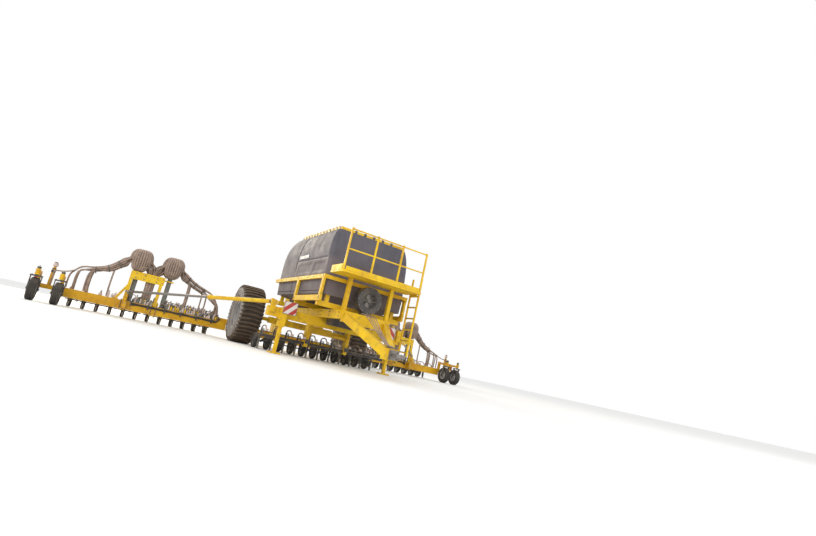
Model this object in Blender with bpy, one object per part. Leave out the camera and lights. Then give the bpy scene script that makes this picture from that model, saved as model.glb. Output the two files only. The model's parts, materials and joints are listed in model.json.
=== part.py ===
"""Trailed air-seeder cart with two folding seeding wings.

Metres, +Z up. The cart travels towards -Y, its left side is +X, and the ground is z = 0.
"""
import math

import bmesh
import bpy
from mathutils import Matrix, Vector

GAP = 0.0003                 # clearance between touching pieces

# Running gear
WHEEL_R = 0.90
WHEEL_W = 0.70
RIM_R = 0.42
TRACK_HALF = 1.86
AXLE_Y = 2.15
SPINDLE_R = 0.06

# Chassis
HALF_LENGTH = 4.60           # hitch eye in front and packer wheels behind
RAIL_X = 0.62
RAIL_Z = (1.19, 1.41)
RAIL_Y = (-2.45, 2.90)
BEAM_Y = -0.80               # cross beam ahead of the wheels
BEAM_HALF = 2.04
BEAM_Z = (0.93, RAIL_Z[0] - GAP)
LEG_X = 1.66
LEG_Y = -1.04

# Tank
TANK_HALF_X = 1.18
TANK_FLOOR = 1.72
TANK_TOP = 3.52
TANK_WALL = 0.02
TANK_REAR = 1.90
BULKHEAD_Y = -0.40
OUTLET_Z = 1.37
HATCH_R = 0.27
HATCH_Y = {"front": -1.25, "rear": 0.0}
OUTLET_Y = {"front": -1.26, "rear": 0.80}
BELT_Z = (2.10, 2.20)

# Toolbar and wings
BAR_Y = 3.30
BAR_DEPTH = 0.26
BAR_Z = (0.26, 0.52)
CENTRE_END = 2.08
FOLD_X = 2.11                # wing fold pins lie along Y, just above the bar
FOLD_Z = 0.58
FOLD_R = 0.06
WING_END = 6.72
SHAFT_Y = 3.56
SHAFT_Z = 0.40
SHAFT_R = 0.045
TINE_FIRST = 2.56
TINE_PITCH = 0.36
TINES = 12
PACKER_R = 0.22
PACKER_Y = HALF_LENGTH - PACKER_R
AXLE_R = 0.018

# Distribution towers
TOWER_X = (5.05, 4.13)
TOWER_Y = 3.33
DOME_Z = 1.50
DOME_TOP = 2.14
DOME_R = 0.31
POST_X = (5.17, 4.34)
TOWER_RAIL_Z = (1.20, 1.45)
TOWER_SHELF_Z = (1.35, 1.385)

# Wing-tip wheels
TIP_WHEEL_X = (7.31, 6.76)
TIP_WHEEL_R = 0.31
TIP_WHEEL_W = 0.20
TIP_Y = 2.80
TIP_TRAIL = 0.10
CASTOR_Y = TIP_Y - TIP_TRAIL
CASTOR_Z = (0.70, 0.85)
MARKER_X = 7.04

# Telescopic wing braces
BRACE_PIN = Vector((1.96, BEAM_Y, 1.30))
BRACE_END = Vector((5.14, 3.02, 0.80))
BRACE_TUBE_LENGTH = 2.05
BRACE_TUBE_R = 0.055
BRACE_ROD_R = 0.036
BRACE_ROD_LENGTH = 4.28
BRACE_EYE = (0.068, 0.090)   # inner and outer radius

COLOURS = {
    "yellow": ((0.78, 0.52, 0.03), 0.40, 0.0),
    "tank": ((0.20, 0.22, 0.26), 0.45, 0.0),
    "dark": ((0.05, 0.05, 0.05), 0.60, 0.0),
    "rubber": ((0.04, 0.04, 0.04), 0.85, 0.0),
    "steel": ((0.45, 0.45, 0.46), 0.35, 1.0),
    "hose": ((0.10, 0.09, 0.08), 0.60, 0.0),
    "board": ((0.75, 0.10, 0.08), 0.50, 0.0),
    "rim": ((0.55, 0.55, 0.57), 0.40, 0.5),
}


def clear_scene():
    for item in list(bpy.data.objects):
        bpy.data.objects.remove(item)


def material(colour):
    found = bpy.data.materials.get(colour)
    if found:
        return found
    base, roughness, metallic = COLOURS[colour]
    made = bpy.data.materials.new(colour)
    made.use_nodes = True
    shader = made.node_tree.nodes["Principled BSDF"]
    shader.inputs["Base Color"].default_value = (*base, 1.0)
    shader.inputs["Roughness"].default_value = roughness
    shader.inputs["Metallic"].default_value = metallic
    return made


def add_mesh(name, verts, faces):
    mesh = bpy.data.meshes.new(name)
    mesh.from_pydata([tuple(v) for v in verts], [], faces)
    bm = bmesh.new()
    bm.from_mesh(mesh)
    bmesh.ops.recalc_face_normals(bm, faces=bm.faces)
    bm.to_mesh(mesh)
    bm.free()
    piece = bpy.data.objects.new(name, mesh)
    bpy.context.scene.collection.objects.link(piece)
    return piece


def box(low, high, name="tool"):
    lo = [min(a, b) for a, b in zip(low, high)]
    hi = [max(a, b) for a, b in zip(low, high)]
    verts = [(x, y, z) for x in (lo[0], hi[0]) for y in (lo[1], hi[1]) for z in (lo[2], hi[2])]
    faces = [(0, 1, 3, 2), (4, 6, 7, 5), (0, 4, 5, 1), (2, 3, 7, 6), (0, 2, 6, 4), (1, 5, 7, 3)]
    return add_mesh(name, verts, faces)


def box_at(side, x_range, y_range, z_range, name="tool"):
    """A box whose x range is mirrored to the given side."""
    return box((side * x_range[0], y_range[0], z_range[0]),
               (side * x_range[1], y_range[1], z_range[1]), name)


def beam(start, end, width, height, name="tool"):
    """A straight bar of rectangular section between two points."""
    start, end = Vector(start), Vector(end)
    along = (end - start).normalized()
    side = along.cross(Vector((0, 0, 1)))
    if side.length < 1e-3:
        side = Vector((1, 0, 0))
    side.normalize()
    top = side.cross(along)
    corners = [(-1, -1), (1, -1), (1, 1), (-1, 1)]
    verts = [p + side * (width / 2 * a) + top * (height / 2 * b)
             for p in (start, end) for a, b in corners]
    faces = [(0, 1, 2, 3), (4, 7, 6, 5)]
    faces += [(i, (i + 1) % 4, (i + 1) % 4 + 4, i + 4) for i in range(4)]
    return add_mesh(name, verts, faces)


def frame_at(origin, axis):
    """A matrix that carries +Z onto axis, with its origin at origin."""
    turn = Vector((0, 0, 1)).rotation_difference(Vector(axis).normalized())
    return Matrix.Translation(Vector(origin)) @ turn.to_matrix().to_4x4()


def lathe(profile, origin, axis, segments, name="tool"):
    """Turns (radius, height) points about an axis. A closed loop of points, or two pole ends."""
    poles = profile[0][0] == 0
    rings = profile[1:-1] if poles else profile
    verts = []
    for radius, height in rings:
        for k in range(segments):
            angle = 2 * math.pi * k / segments
            verts.append(Vector((radius * math.cos(angle), radius * math.sin(angle), height)))
    faces = []
    count = len(rings)
    for i in range(count - 1 if poles else count):
        j = (i + 1) % count
        for k in range(segments):
            n = (k + 1) % segments
            faces.append((i * segments + k, i * segments + n, j * segments + n, j * segments + k))
    if poles:
        faces.append(tuple(range(segments)))
        faces.append(tuple(range((count - 1) * segments, count * segments)))
        if profile[0][1] != rings[0][1] or profile[-1][1] != rings[-1][1]:
            raise ValueError("pole ends are flat")
    matrix = frame_at(origin, axis)
    return add_mesh(name, [matrix @ v for v in verts], faces)


def rod(start, end, radius, segments=12, name="tool"):
    start, end = Vector(start), Vector(end)
    length = (end - start).length
    profile = [(0, 0), (radius, 0), (radius, length), (0, length)]
    return lathe(profile, start, end - start, segments, name)


def ring(origin, axis, inner, outer, length, segments=16, name="tool"):
    """A tube of the given length, centred on origin."""
    half = length / 2
    profile = [(inner, -half), (outer, -half), (outer, half), (inner, half)]
    return lathe(profile, origin, axis, segments, name)


def loft(sections, name="tool"):
    """Joins closed loops of equal point count, and caps both ends."""
    count = len(sections[0])
    verts = [p for loop in sections for p in loop]
    faces = [tuple(range(count)), tuple(range(len(verts) - count, len(verts)))]
    for i in range(len(sections) - 1):
        for k in range(count):
            n = (k + 1) % count
            faces.append((i * count + k, i * count + n, (i + 1) * count + n, (i + 1) * count + k))
    return add_mesh(name, verts, faces)


def combine(base, tools, operation):
    for tool in tools:
        step = base.modifiers.new("step", "BOOLEAN")
        step.operation = operation
        step.object = tool
        step.solver = "EXACT"
    bpy.context.view_layer.update()
    evaluated = base.evaluated_get(bpy.context.evaluated_depsgraph_get())
    result = bpy.data.meshes.new_from_object(evaluated)
    base.modifiers.clear()
    base.data = result
    for tool in tools:
        bpy.data.objects.remove(tool)
    return base


def weld(base, *tools):
    return combine(base, tools, "UNION")


def cut(base, *tools):
    return combine(base, tools, "DIFFERENCE")


def finish(piece, name, colour, pivot=(0, 0, 0), smooth=False):
    """Names a piece, gives it its material and puts its origin on its pivot."""
    piece.name = name
    piece.data.name = name
    piece.data.materials.clear()
    piece.data.materials.append(material(colour))
    piece.data.transform(Matrix.Translation(-Vector(pivot)))
    piece.location = Vector(pivot)
    if smooth:
        piece.data.shade_smooth()
        piece.data.set_sharp_from_angle(angle=math.radians(35))
    return piece


def side_name(side):
    return "left" if side > 0 else "right"


def mirrored(point, side):
    return Vector((side * point[0], point[1], point[2]))


# ---------------------------------------------------------------- running gear
def make_wheel(side):
    centre = (side * TRACK_HALF, AXLE_Y, WHEEL_R)
    half = WHEEL_W / 2
    tyre = [(RIM_R, -half * 0.72), (0.60, -half), (0.80, -half), (WHEEL_R, -half * 0.80),
            (WHEEL_R, half * 0.80), (0.80, half), (0.60, half), (RIM_R, half * 0.72)]
    piece = lathe(tyre, centre, (side, 0, 0), 32)
    finish(piece, f"tyre_{side_name(side)}", "rubber", centre, smooth=True)
    bore = SPINDLE_R + 0.003
    rim = RIM_R - GAP
    hub = [(bore, -0.10), (0.17, -0.10), (0.17, 0.00), (rim - 0.04, 0.00), (rim - 0.04, -half * 0.66),
           (rim, -half * 0.66), (rim, half * 0.66), (rim - 0.04, half * 0.66), (rim - 0.04, 0.03),
           (0.14, 0.03), (0.14, 0.17), (bore, 0.17)]
    piece = lathe(hub, centre, (side, 0, 0), 32)
    finish(piece, f"wheel_hub_{side_name(side)}", "rim", centre, smooth=True)


def make_axle():
    axle = box((-1.12, AXLE_Y - 0.10, WHEEL_R - 0.10), (1.12, AXLE_Y + 0.10, WHEEL_R + 0.10))
    tools = []
    for side in (-1, 1):
        tip = (side * (TRACK_HALF + 0.16), AXLE_Y, WHEEL_R)
        tools.append(rod((side * 1.05, AXLE_Y, WHEEL_R), tip, SPINDLE_R))
        tools.append(box_at(side, (RAIL_X - 0.11, RAIL_X + 0.11), (AXLE_Y - 0.16, AXLE_Y + 0.16),
                            (WHEEL_R + 0.08, RAIL_Z[0] - GAP)))
    finish(weld(axle, *tools), "axle_beam", "yellow")


# ---------------------------------------------------------------- chassis
def make_chassis():
    low, high = RAIL_Z
    frame = box_at(1, (RAIL_X - 0.07, RAIL_X + 0.07), RAIL_Y, RAIL_Z)
    tools = [box_at(-1, (RAIL_X - 0.07, RAIL_X + 0.07), RAIL_Y, RAIL_Z)]
    for y in (RAIL_Y[0] + 0.10, 0.20, RAIL_Y[1] - 0.12):
        tools.append(box((-RAIL_X, y - 0.06, low + 0.02), (RAIL_X, y + 0.06, high - 0.02)))
    for side in (-1, 1):
        tools.append(box_at(side, (RAIL_X - 0.05, RAIL_X + 0.05), (RAIL_Y[1] - 0.18, RAIL_Y[1] - 0.001),
                            (BAR_Z[0] + 0.02, low + 0.05)))
    finish(weld(frame, *tools), "chassis_frame", "yellow")


def make_cross_beam():
    """Beam across the front of the wheels: brace pins at its ends, leg sleeves ahead of it."""
    frame = box((-BEAM_HALF, BEAM_Y - 0.13, BEAM_Z[0]), (BEAM_HALF, BEAM_Y + 0.13, BEAM_Z[1]))
    tools = []
    cutters = []
    for side in (-1, 1):
        pin = mirrored(BRACE_PIN, side)
        stub = BEAM_Y - 0.13
        low = (pin.x - 0.07, stub - 0.06, BEAM_Z[0] + 0.1)
        tools.append(box(low, (pin.x + 0.07, stub + 0.01, pin.z + 0.06)))
        tools.append(rod((pin.x, stub - 0.01, pin.z), (pin.x, pin.y + 0.025, pin.z), 0.019))
        tools.append(box_at(side, (LEG_X - 0.08, LEG_X + 0.08), (LEG_Y - 0.08, LEG_Y + 0.14), (0.70, 1.16)))
        cutters.append(box_at(side, (LEG_X - 0.05, LEG_X + 0.05), (LEG_Y - 0.05, LEG_Y + 0.05), (0.6, 1.3)))
    finish(cut(weld(frame, *tools), *cutters), "cross_beam", "yellow")


def make_support_leg(side):
    post = box_at(side, (LEG_X - 0.045, LEG_X + 0.045), (LEG_Y - 0.045, LEG_Y + 0.045), (0.03, 1.45))
    foot = box_at(side, (LEG_X - 0.14, LEG_X + 0.14), (LEG_Y - 0.14, LEG_Y + 0.14), (0.0, 0.04))
    pivot = (side * LEG_X, LEG_Y, 0)
    finish(weld(post, foot), f"support_leg_{side_name(side)}", "yellow", pivot)


def make_drawbar():
    tip_y = -HALF_LENGTH + 0.42
    front = RAIL_Y[0] - GAP
    nose = box((-0.13, tip_y, 0.44), (0.13, tip_y + 0.34, 0.70))
    tools = [box((-RAIL_X - 0.06, front - 0.08, 1.12), (RAIL_X + 0.06, front, 1.40))]
    for side in (-1, 1):
        tools.append(beam((side * (RAIL_X - 0.04), front - 0.07, 1.24), (side * 0.05, tip_y + 0.20, 0.57),
                          0.14, 0.20))
    finish(weld(nose, *tools), "drawbar", "yellow")


def make_hitch_eye():
    tip_y = -HALF_LENGTH + 0.42
    eye = rod((0, -HALF_LENGTH + 0.11, 0.53), (0, -HALF_LENGTH + 0.11, 0.61), 0.11, 24)
    shank = box((-0.07, -HALF_LENGTH + 0.15, 0.54), (0.07, tip_y - 0.03, 0.60))
    plate = box((-0.12, tip_y - 0.04, 0.46), (0.12, tip_y - GAP, 0.68))
    hole = rod((0, -HALF_LENGTH + 0.11, 0.5), (0, -HALF_LENGTH + 0.11, 0.65), 0.042, 20)
    finish(cut(weld(eye, shank, plate), hole), "hitch_eye", "steel")


def make_warning_board(side):
    front = LEG_Y - 0.08 - GAP
    board = box_at(side, (LEG_X - 0.29, LEG_X + 0.06), (front - 0.02, front), (1.05, 1.38))
    finish(board, f"warning_board_{side_name(side)}", "board")


# ---------------------------------------------------------------- tank
def tank_rear_y(z):
    """Rear wall: upright up to the shoulder, then a long curve forward to the top."""
    shoulder, roof_y = 2.60, 1.15
    if z <= shoulder:
        return TANK_REAR - 0.04 * (shoulder - z) / (shoulder - TANK_FLOOR)
    rise = min((z - shoulder) / (TANK_TOP - shoulder), 1.0)
    return roof_y + (TANK_REAR - roof_y) * math.sqrt(max(1.0 - rise * rise, 0.0))


def tank_front_y(z):
    return -2.12 + 0.14 * max(z - BELT_Z[0], 0.0)


def tank_half_x(z):
    """Side walls: upright up to the shoulder, then leaning in."""
    shoulder = 2.85
    if z <= shoulder:
        return TANK_HALF_X - 0.06 * max(BELT_Z[0] - z, 0.0)
    rise = min((z - shoulder) / (TANK_TOP - shoulder), 1.0)
    return TANK_HALF_X - 0.20 * (1.0 - math.sqrt(max(1.0 - 0.96 * rise * rise, 0.0)))


def rounded_loop(x_half, y_low, y_high, z, radius, steps=3):
    centres = [(x_half - radius, y_high - radius, 0), (-x_half + radius, y_high - radius, 90),
               (-x_half + radius, y_low + radius, 180), (x_half - radius, y_low + radius, 270)]
    loop = []
    for cx, cy, start in centres:
        for k in range(steps + 1):
            angle = math.radians(start + 90 * k / steps)
            loop.append(Vector((cx + radius * math.cos(angle), cy + radius * math.sin(angle), z)))
    return loop


def tank_levels(z_low, z_high):
    levels = [z_low, BELT_Z[0], 2.60, 2.86, 3.10, 3.30, 3.43]
    return [z for z in levels if z_low <= z < z_high - 0.02] + [z_high]


def tank_body(wall, z_low, z_high, y_low=None, y_high=None):
    """The tank's outer form, or with a wall thickness one of its cells."""
    loops = []
    for z in tank_levels(z_low, z_high):
        front = tank_front_y(z) + wall if y_low is None else y_low
        rear = tank_rear_y(z) - wall if y_high is None else y_high
        loops.append(rounded_loop(tank_half_x(z) - wall, front, rear, z, 0.10 - wall))
    return loft(loops)


def hopper(where, wall, z_low, z_high):
    """Funnel from a cell's floor down to its outlet."""
    y = OUTLET_Y[where]
    low = (0.44 - wall, y - 0.16 + wall, y + 0.16 - wall)
    if where == "front":
        top = (1.05 - wall, -1.90 + wall, BULKHEAD_Y - 0.12 - wall)
    else:
        top = (1.05 - wall, BULKHEAD_Y + 0.32 + wall, 1.66 - wall)
    loops = []
    for z in (z_low, z_high):
        t = (z - OUTLET_Z) / (TANK_FLOOR - OUTLET_Z)
        t = min(max(t, 0.0), 1.08)
        half, front, rear = (a + (b - a) * t for a, b in zip(low, top))
        loops.append(rounded_loop(half, front, rear, z, 0.05))
    return loft(loops)


def make_tank():
    shell = tank_body(0.0, TANK_FLOOR, TANK_TOP)
    hoppers = [hopper(where, 0.0, OUTLET_Z, TANK_FLOOR + 0.03) for where in OUTLET_Y]
    rim_z = (TANK_TOP - 0.03, TANK_TOP + 0.05)
    rims = [rod((0, y, rim_z[0]), (0, y, rim_z[1]), HATCH_R + 0.03, 20) for y in HATCH_Y.values()]
    weld(shell, *hoppers, *rims)
    floor, roof = TANK_FLOOR + TANK_WALL, TANK_TOP - TANK_WALL
    cells = [tank_body(TANK_WALL, floor, roof, y_high=BULKHEAD_Y - 0.01),
             tank_body(TANK_WALL, floor, roof, y_low=BULKHEAD_Y + 0.01)]
    funnels = [hopper(where, TANK_WALL, OUTLET_Z - 0.05, TANK_FLOOR + 0.035) for where in OUTLET_Y]
    hatches = [rod((0, y, TANK_TOP - 0.10), (0, y, TANK_TOP + 0.10), HATCH_R, 20) for y in HATCH_Y.values()]
    finish(cut(shell, *cells, *funnels, *hatches), "tank_shell", "tank", smooth=True)


def make_lid(where):
    """Dished lid, hinged at its left side on two lugs of the hatch rim."""
    y = HATCH_Y[where]
    seat = TANK_TOP + 0.05 + GAP
    rim = HATCH_R + 0.05
    profile = [(0, seat), (rim, seat), (rim, seat + 0.035), (rim - 0.08, seat + 0.07), (0.10, seat + 0.085),
               (0, seat + 0.085)]
    lid = lathe(profile, (0, y, 0), (0, 0, 1), 20)
    tab = box((rim - 0.05, y - 0.06, seat + 0.005), (rim + 0.06, y + 0.06, seat + 0.03))
    finish(weld(lid, tab), f"tank_lid_{where}", "dark", (rim + 0.06, y, seat + 0.0175), smooth=True)


def make_top_rail():
    """Low frame round the hatches that the filling deck's edges bolt to."""
    low, high = TANK_TOP + GAP, TANK_TOP + 0.075
    y_front, y_rear, x = -1.88, 1.10, 0.99
    rail = box((x - 0.05, y_front, low), (x, y_rear, high))
    tools = [box((-x, y_front, low), (-x + 0.05, y_rear, high))]
    for y in (y_front, y_rear - 0.05):
        tools.append(box((-x + 0.01, y, low), (x - 0.01, y + 0.05, high - 0.002)))
    finish(weld(rail, *tools), "top_rail", "yellow")


def make_cradle():
    """Frame that carries the tank: a belt rail, posts, lower rails and bolsters on the chassis."""
    inner, outer = TANK_HALF_X + 0.012, TANK_HALF_X + 0.075
    y_front, y_rear = -2.20, TANK_REAR + 0.065
    base = RAIL_Z[1] + GAP
    post_top = BELT_Z[0] + 0.02
    frame = box((inner, y_front, BELT_Z[0]), (outer, y_rear, BELT_Z[1]))
    tools = [box((-outer, y_front, BELT_Z[0]), (-inner, y_rear, BELT_Z[1]))]
    for y in (y_front, y_rear - 0.06):
        low = (-outer + 0.01, y, BELT_Z[0] + 0.003)
        tools.append(box(low, (outer - 0.01, y + 0.06, BELT_Z[1] - 0.003)))
    for side in (-1, 1):
        tools.append(box_at(side, (inner - 0.005, outer - 0.005), (y_front + 0.01, -0.18), (1.52, 1.66)))
        for y in (y_front + 0.02, -0.30):
            tools.append(box_at(side, (inner + 0.002, outer - 0.002), (y, y + 0.12), (1.55, post_top)))
        upright_y = (y_rear - 0.058, y_rear - 0.002)
        tools.append(box_at(side, (0.57, 0.67), upright_y, (base + 0.002, post_top)))
    for y in (-1.98, -0.30):
        tools.append(box((-inner - 0.03, y - 0.05, base), (inner + 0.03, y + 0.05, 1.54)))
    tools.append(box((-1.06, 1.69, base), (1.06, y_rear - 0.03, 1.54)))
    for y in (-1.98, -0.30, 1.74):
        for side in (-1, 1):
            tools.append(box_at(side, (0.92, 1.02), (y - 0.045, y + 0.045), (1.50, TANK_FLOOR - GAP)))
    finish(weld(frame, *tools), "tank_cradle", "yellow")


def make_meter_box(where):
    """Box under a tank outlet, open above and below, with bores for the roller shaft."""
    y = OUTLET_Y[where]
    z_low, z_high = 1.03, OUTLET_Z - GAP
    shell = box((-0.47, y - 0.18, z_low), (0.47, y + 0.18, z_high))
    cutters = [box((-0.45, y - 0.16, z_low + 0.06), (0.45, y + 0.16, z_high + 0.1)),
               box((-0.42, y - 0.05, z_low - 0.1), (0.42, y + 0.05, z_low + 0.1)),
               rod((-0.6, y, 1.21), (0.6, y, 1.21), 0.024, 16)]
    finish(cut(shell, *cutters), f"meter_box_{where}", "dark")


def make_meter_roller(where):
    """Fluted seed roller on its shaft."""
    y, z, flutes = OUTLET_Y[where], 1.21, 10
    loops = []
    for x in (-0.43, 0.43):
        loop = []
        for k in range(flutes * 4):
            angle = 2 * math.pi * k / (flutes * 4)
            radius = 0.085 if k % 4 < 2 else 0.062
            loop.append(Vector((x, y + radius * math.cos(angle), z + radius * math.sin(angle))))
        loops.append(loop)
    shaft = rod((-0.53, y, z), (0.53, y, z), 0.02, 16)
    finish(weld(loft(loops), shaft), f"meter_roller_{where}", "steel", (0, y, z))


def make_fan():
    """Radial fan on the chassis front: a drum with an inlet, and its impeller."""
    centre = Vector((0, -2.36, 1.80))
    drum = [(0.035, 0.12), (0.35, 0.12), (0.35, -0.12), (0.19, -0.12), (0.19, -0.108), (0.338, -0.108),
            (0.338, 0.108), (0.035, 0.108)]
    housing = lathe(drum, centre, (0, 1, 0), 20)
    foot = box((-0.16, centre.y - 0.09, RAIL_Z[1] - 0.02 + GAP), (0.16, centre.y + 0.09, centre.z - 0.344))
    finish(weld(housing, foot), "fan_housing", "dark", smooth=True)
    hub = rod(centre + Vector((0, -0.05, 0)), centre + Vector((0, 0.16, 0)), 0.03, 16)
    plate = rod(centre + Vector((0, 0.06, 0)), centre + Vector((0, 0.07, 0)), 0.30, 16)
    blades = []
    for k in range(8):
        angle = math.pi * k / 4
        out = Vector((math.cos(angle), 0, math.sin(angle)))
        blade = beam(centre + out * 0.02, centre + out * 0.29, 0.10, 0.012)
        blade.data.transform(Matrix.Translation((0, 0.012, 0)))
        blades.append(blade)
    finish(weld(hub, plate, *blades), "fan_impeller", "steel", centre)


def make_platform():
    """Filling platform ahead of the tank, with a handrail along its front edge and carrying posts."""
    y_front, y_rear = -2.98, -2.24
    deck = box((-1.15, y_front, 2.26), (1.15, y_rear, 2.31))
    tools = []
    for side in (-1, 1):
        tools.append(box_at(side, (0.57, 0.67), (-2.42, -2.32), (RAIL_Z[1] + GAP, 2.28)))
        for x in (0.38, 1.12):
            tools.append(box_at(side, (x - 0.02, x + 0.02), (y_front + 0.02, y_front + 0.06), (2.28, 3.36)))
    for z in (2.82, 3.32):
        tools.append(box((-1.12, y_front + 0.025, z + 0.002), (1.12, y_front + 0.055, z + 0.033)))
    finish(weld(deck, *tools), "platform", "yellow")


def make_ladder():
    """Ladder from the ground clearance up to the platform's left edge."""
    y_low, y_high = -2.86, -2.40
    stile = box((1.17, y_low, 0.62), (1.21, y_low + 0.04, 2.70))
    tools = [box((1.17, y_high - 0.04, 0.62), (1.21, y_high, 2.70))]
    tools += [box((1.175, y_low + 0.01, z), (1.205, y_high - 0.01, z + 0.03)) for z in
              [0.70 + 0.30 * k for k in range(6)]]
    tools.append(box((1.15 + GAP, y_low + 0.1, 2.20), (1.19, y_high - 0.1, 2.30)))
    finish(weld(stile, *tools), "ladder", "yellow")


# ---------------------------------------------------------------- toolbar
def make_rear_toolbar():
    bar = box((-CENTRE_END, BAR_Y - BAR_DEPTH / 2, BAR_Z[0]), (CENTRE_END, BAR_Y + BAR_DEPTH / 2, BAR_Z[1]))
    tools = []
    rear = BAR_Y + BAR_DEPTH / 2
    for side in (-1, 1):
        tools.append(box_at(side, (RAIL_X - 0.06, RAIL_X + 0.06), (RAIL_Y[1] + GAP, rear - 0.2),
                            (BAR_Z[0] + 0.01, BAR_Z[1] + 0.30)))
        pin = Vector((side * FOLD_X, BAR_Y, FOLD_Z))
        for y in (BAR_Y - 0.11, BAR_Y + 0.08):
            ear_x = (CENTRE_END - 0.24, FOLD_X - 0.02)
            tools.append(box_at(side, ear_x, (y, y + 0.03), (BAR_Z[1] - 0.03, FOLD_Z + 0.055)))
            tools.append(rod((pin.x, y + 0.001, pin.z), (pin.x, y + 0.029, pin.z), FOLD_R, 16))
        tools.append(rod((pin.x, BAR_Y - 0.13, pin.z), (pin.x, BAR_Y + 0.13, pin.z), 0.03, 12))
    finish(weld(bar, *tools), "rear_toolbar", "yellow")


def packer_profile(positions, ends, width=0.11):
    """Stepped profile of packer wheels on one shaft, along its length."""
    profile = [(0, ends[0]), (AXLE_R, ends[0])]
    for x in positions:
        low, high = x - width / 2, x + width / 2
        profile += [(AXLE_R, low), (PACKER_R, low + 0.02), (PACKER_R, high - 0.02), (AXLE_R, high)]
    return profile + [(AXLE_R, ends[1]), (0, ends[1])]


def make_packer(name, side, positions, y):
    ends = (positions[0] - 0.14, positions[-1] + 0.14)
    pivot = (0, y, PACKER_R)
    piece = lathe(packer_profile(positions, ends), pivot, (side, 0, 0), 12)
    finish(piece, name, "rubber", (side * positions[0], y, PACKER_R), smooth=True)


def tine(x, shaft_y, shaft_z, side):
    """Arm, shank and seed boot of one opener."""
    shank_y = shaft_y + 0.40
    return [box_at(side, (x - 0.02, x + 0.02), (shaft_y, shank_y + 0.02), (shaft_z - 0.025, shaft_z + 0.035)),
            box_at(side, (x - 0.018, x + 0.018), (shank_y - 0.03, shank_y + 0.03), (0.012, shaft_z + 0.19))]


def packer_arm(x, shaft_y, shaft_z, packer_y, side):
    return beam((side * x, shaft_y, shaft_z), (side * x, packer_y + 0.05, PACKER_R - 0.012), 0.03, 0.07)


def make_openers(name, side, xs, arm_xs, shaft_y, packer_y, pivot):
    reach = (xs[0] - 0.16, xs[-1] + 0.14)
    shaft = rod((side * reach[0], shaft_y, SHAFT_Z), (side * reach[1], shaft_y, SHAFT_Z), SHAFT_R, 8)
    tools = []
    for x in xs:
        tools += tine(x, shaft_y, SHAFT_Z, side)
    tools += [packer_arm(x, shaft_y, SHAFT_Z, packer_y, side) for x in arm_xs]
    weld(shaft, *tools)
    bore = rod((side * (reach[0] - 1), packer_y, PACKER_R), (side * (reach[1] + 1), packer_y, PACKER_R),
               AXLE_R + 0.004, 8)
    finish(cut(shaft, bore), name, "dark", pivot)


def tine_row():
    return [TINE_FIRST + TINE_PITCH * k for k in range(TINES)]


def make_wing_openers(side):
    row = tine_row()
    half = TINES // 2
    mid = [x + TINE_PITCH / 2 for x in row]
    arms = [mid[0], mid[4], mid[6], mid[10]]
    word = side_name(side)
    pivot = (side * FOLD_X, SHAFT_Y, SHAFT_Z)
    make_openers(f"opener_frame_{word}", side, row, arms, SHAFT_Y, PACKER_Y, pivot)
    make_packer(f"packer_inner_{word}", side, row[:half], PACKER_Y)
    make_packer(f"packer_outer_{word}", side, row[half:], PACKER_Y)


def make_centre_openers():
    """Openers under the tank, ahead of the wheels, that sow the strip between the wings."""
    shaft_y, packer_y = -0.30, 0.52
    xs = [TINE_PITCH * (k - 5) for k in range(11)]
    arm_xs = [TINE_PITCH * (k - 4.5) for k in (0, 4, 5, 9)]
    make_openers("centre_opener_frame", 1, xs, arm_xs, shaft_y, packer_y, (0, shaft_y, SHAFT_Z))
    make_packer("centre_packer", 1, xs, packer_y)
    plate_y = (shaft_y - 0.10, shaft_y + 0.10)
    plate_z = (SHAFT_Z - 0.08, RAIL_Z[0] - GAP)
    hanger = box_at(-1, (RAIL_X - 0.05, RAIL_X + 0.05), plate_y, plate_z)
    other = box_at(1, (RAIL_X - 0.05, RAIL_X + 0.05), plate_y, plate_z)
    tie = box((-RAIL_X, shaft_y - 0.04, 0.72), (RAIL_X, shaft_y + 0.04, 0.80))
    weld(hanger, other, tie)
    bore = rod((-2, shaft_y, SHAFT_Z), (2, shaft_y, SHAFT_Z), SHAFT_R + 0.008, 8)
    finish(cut(hanger, bore), "centre_hanger", "yellow")


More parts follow.
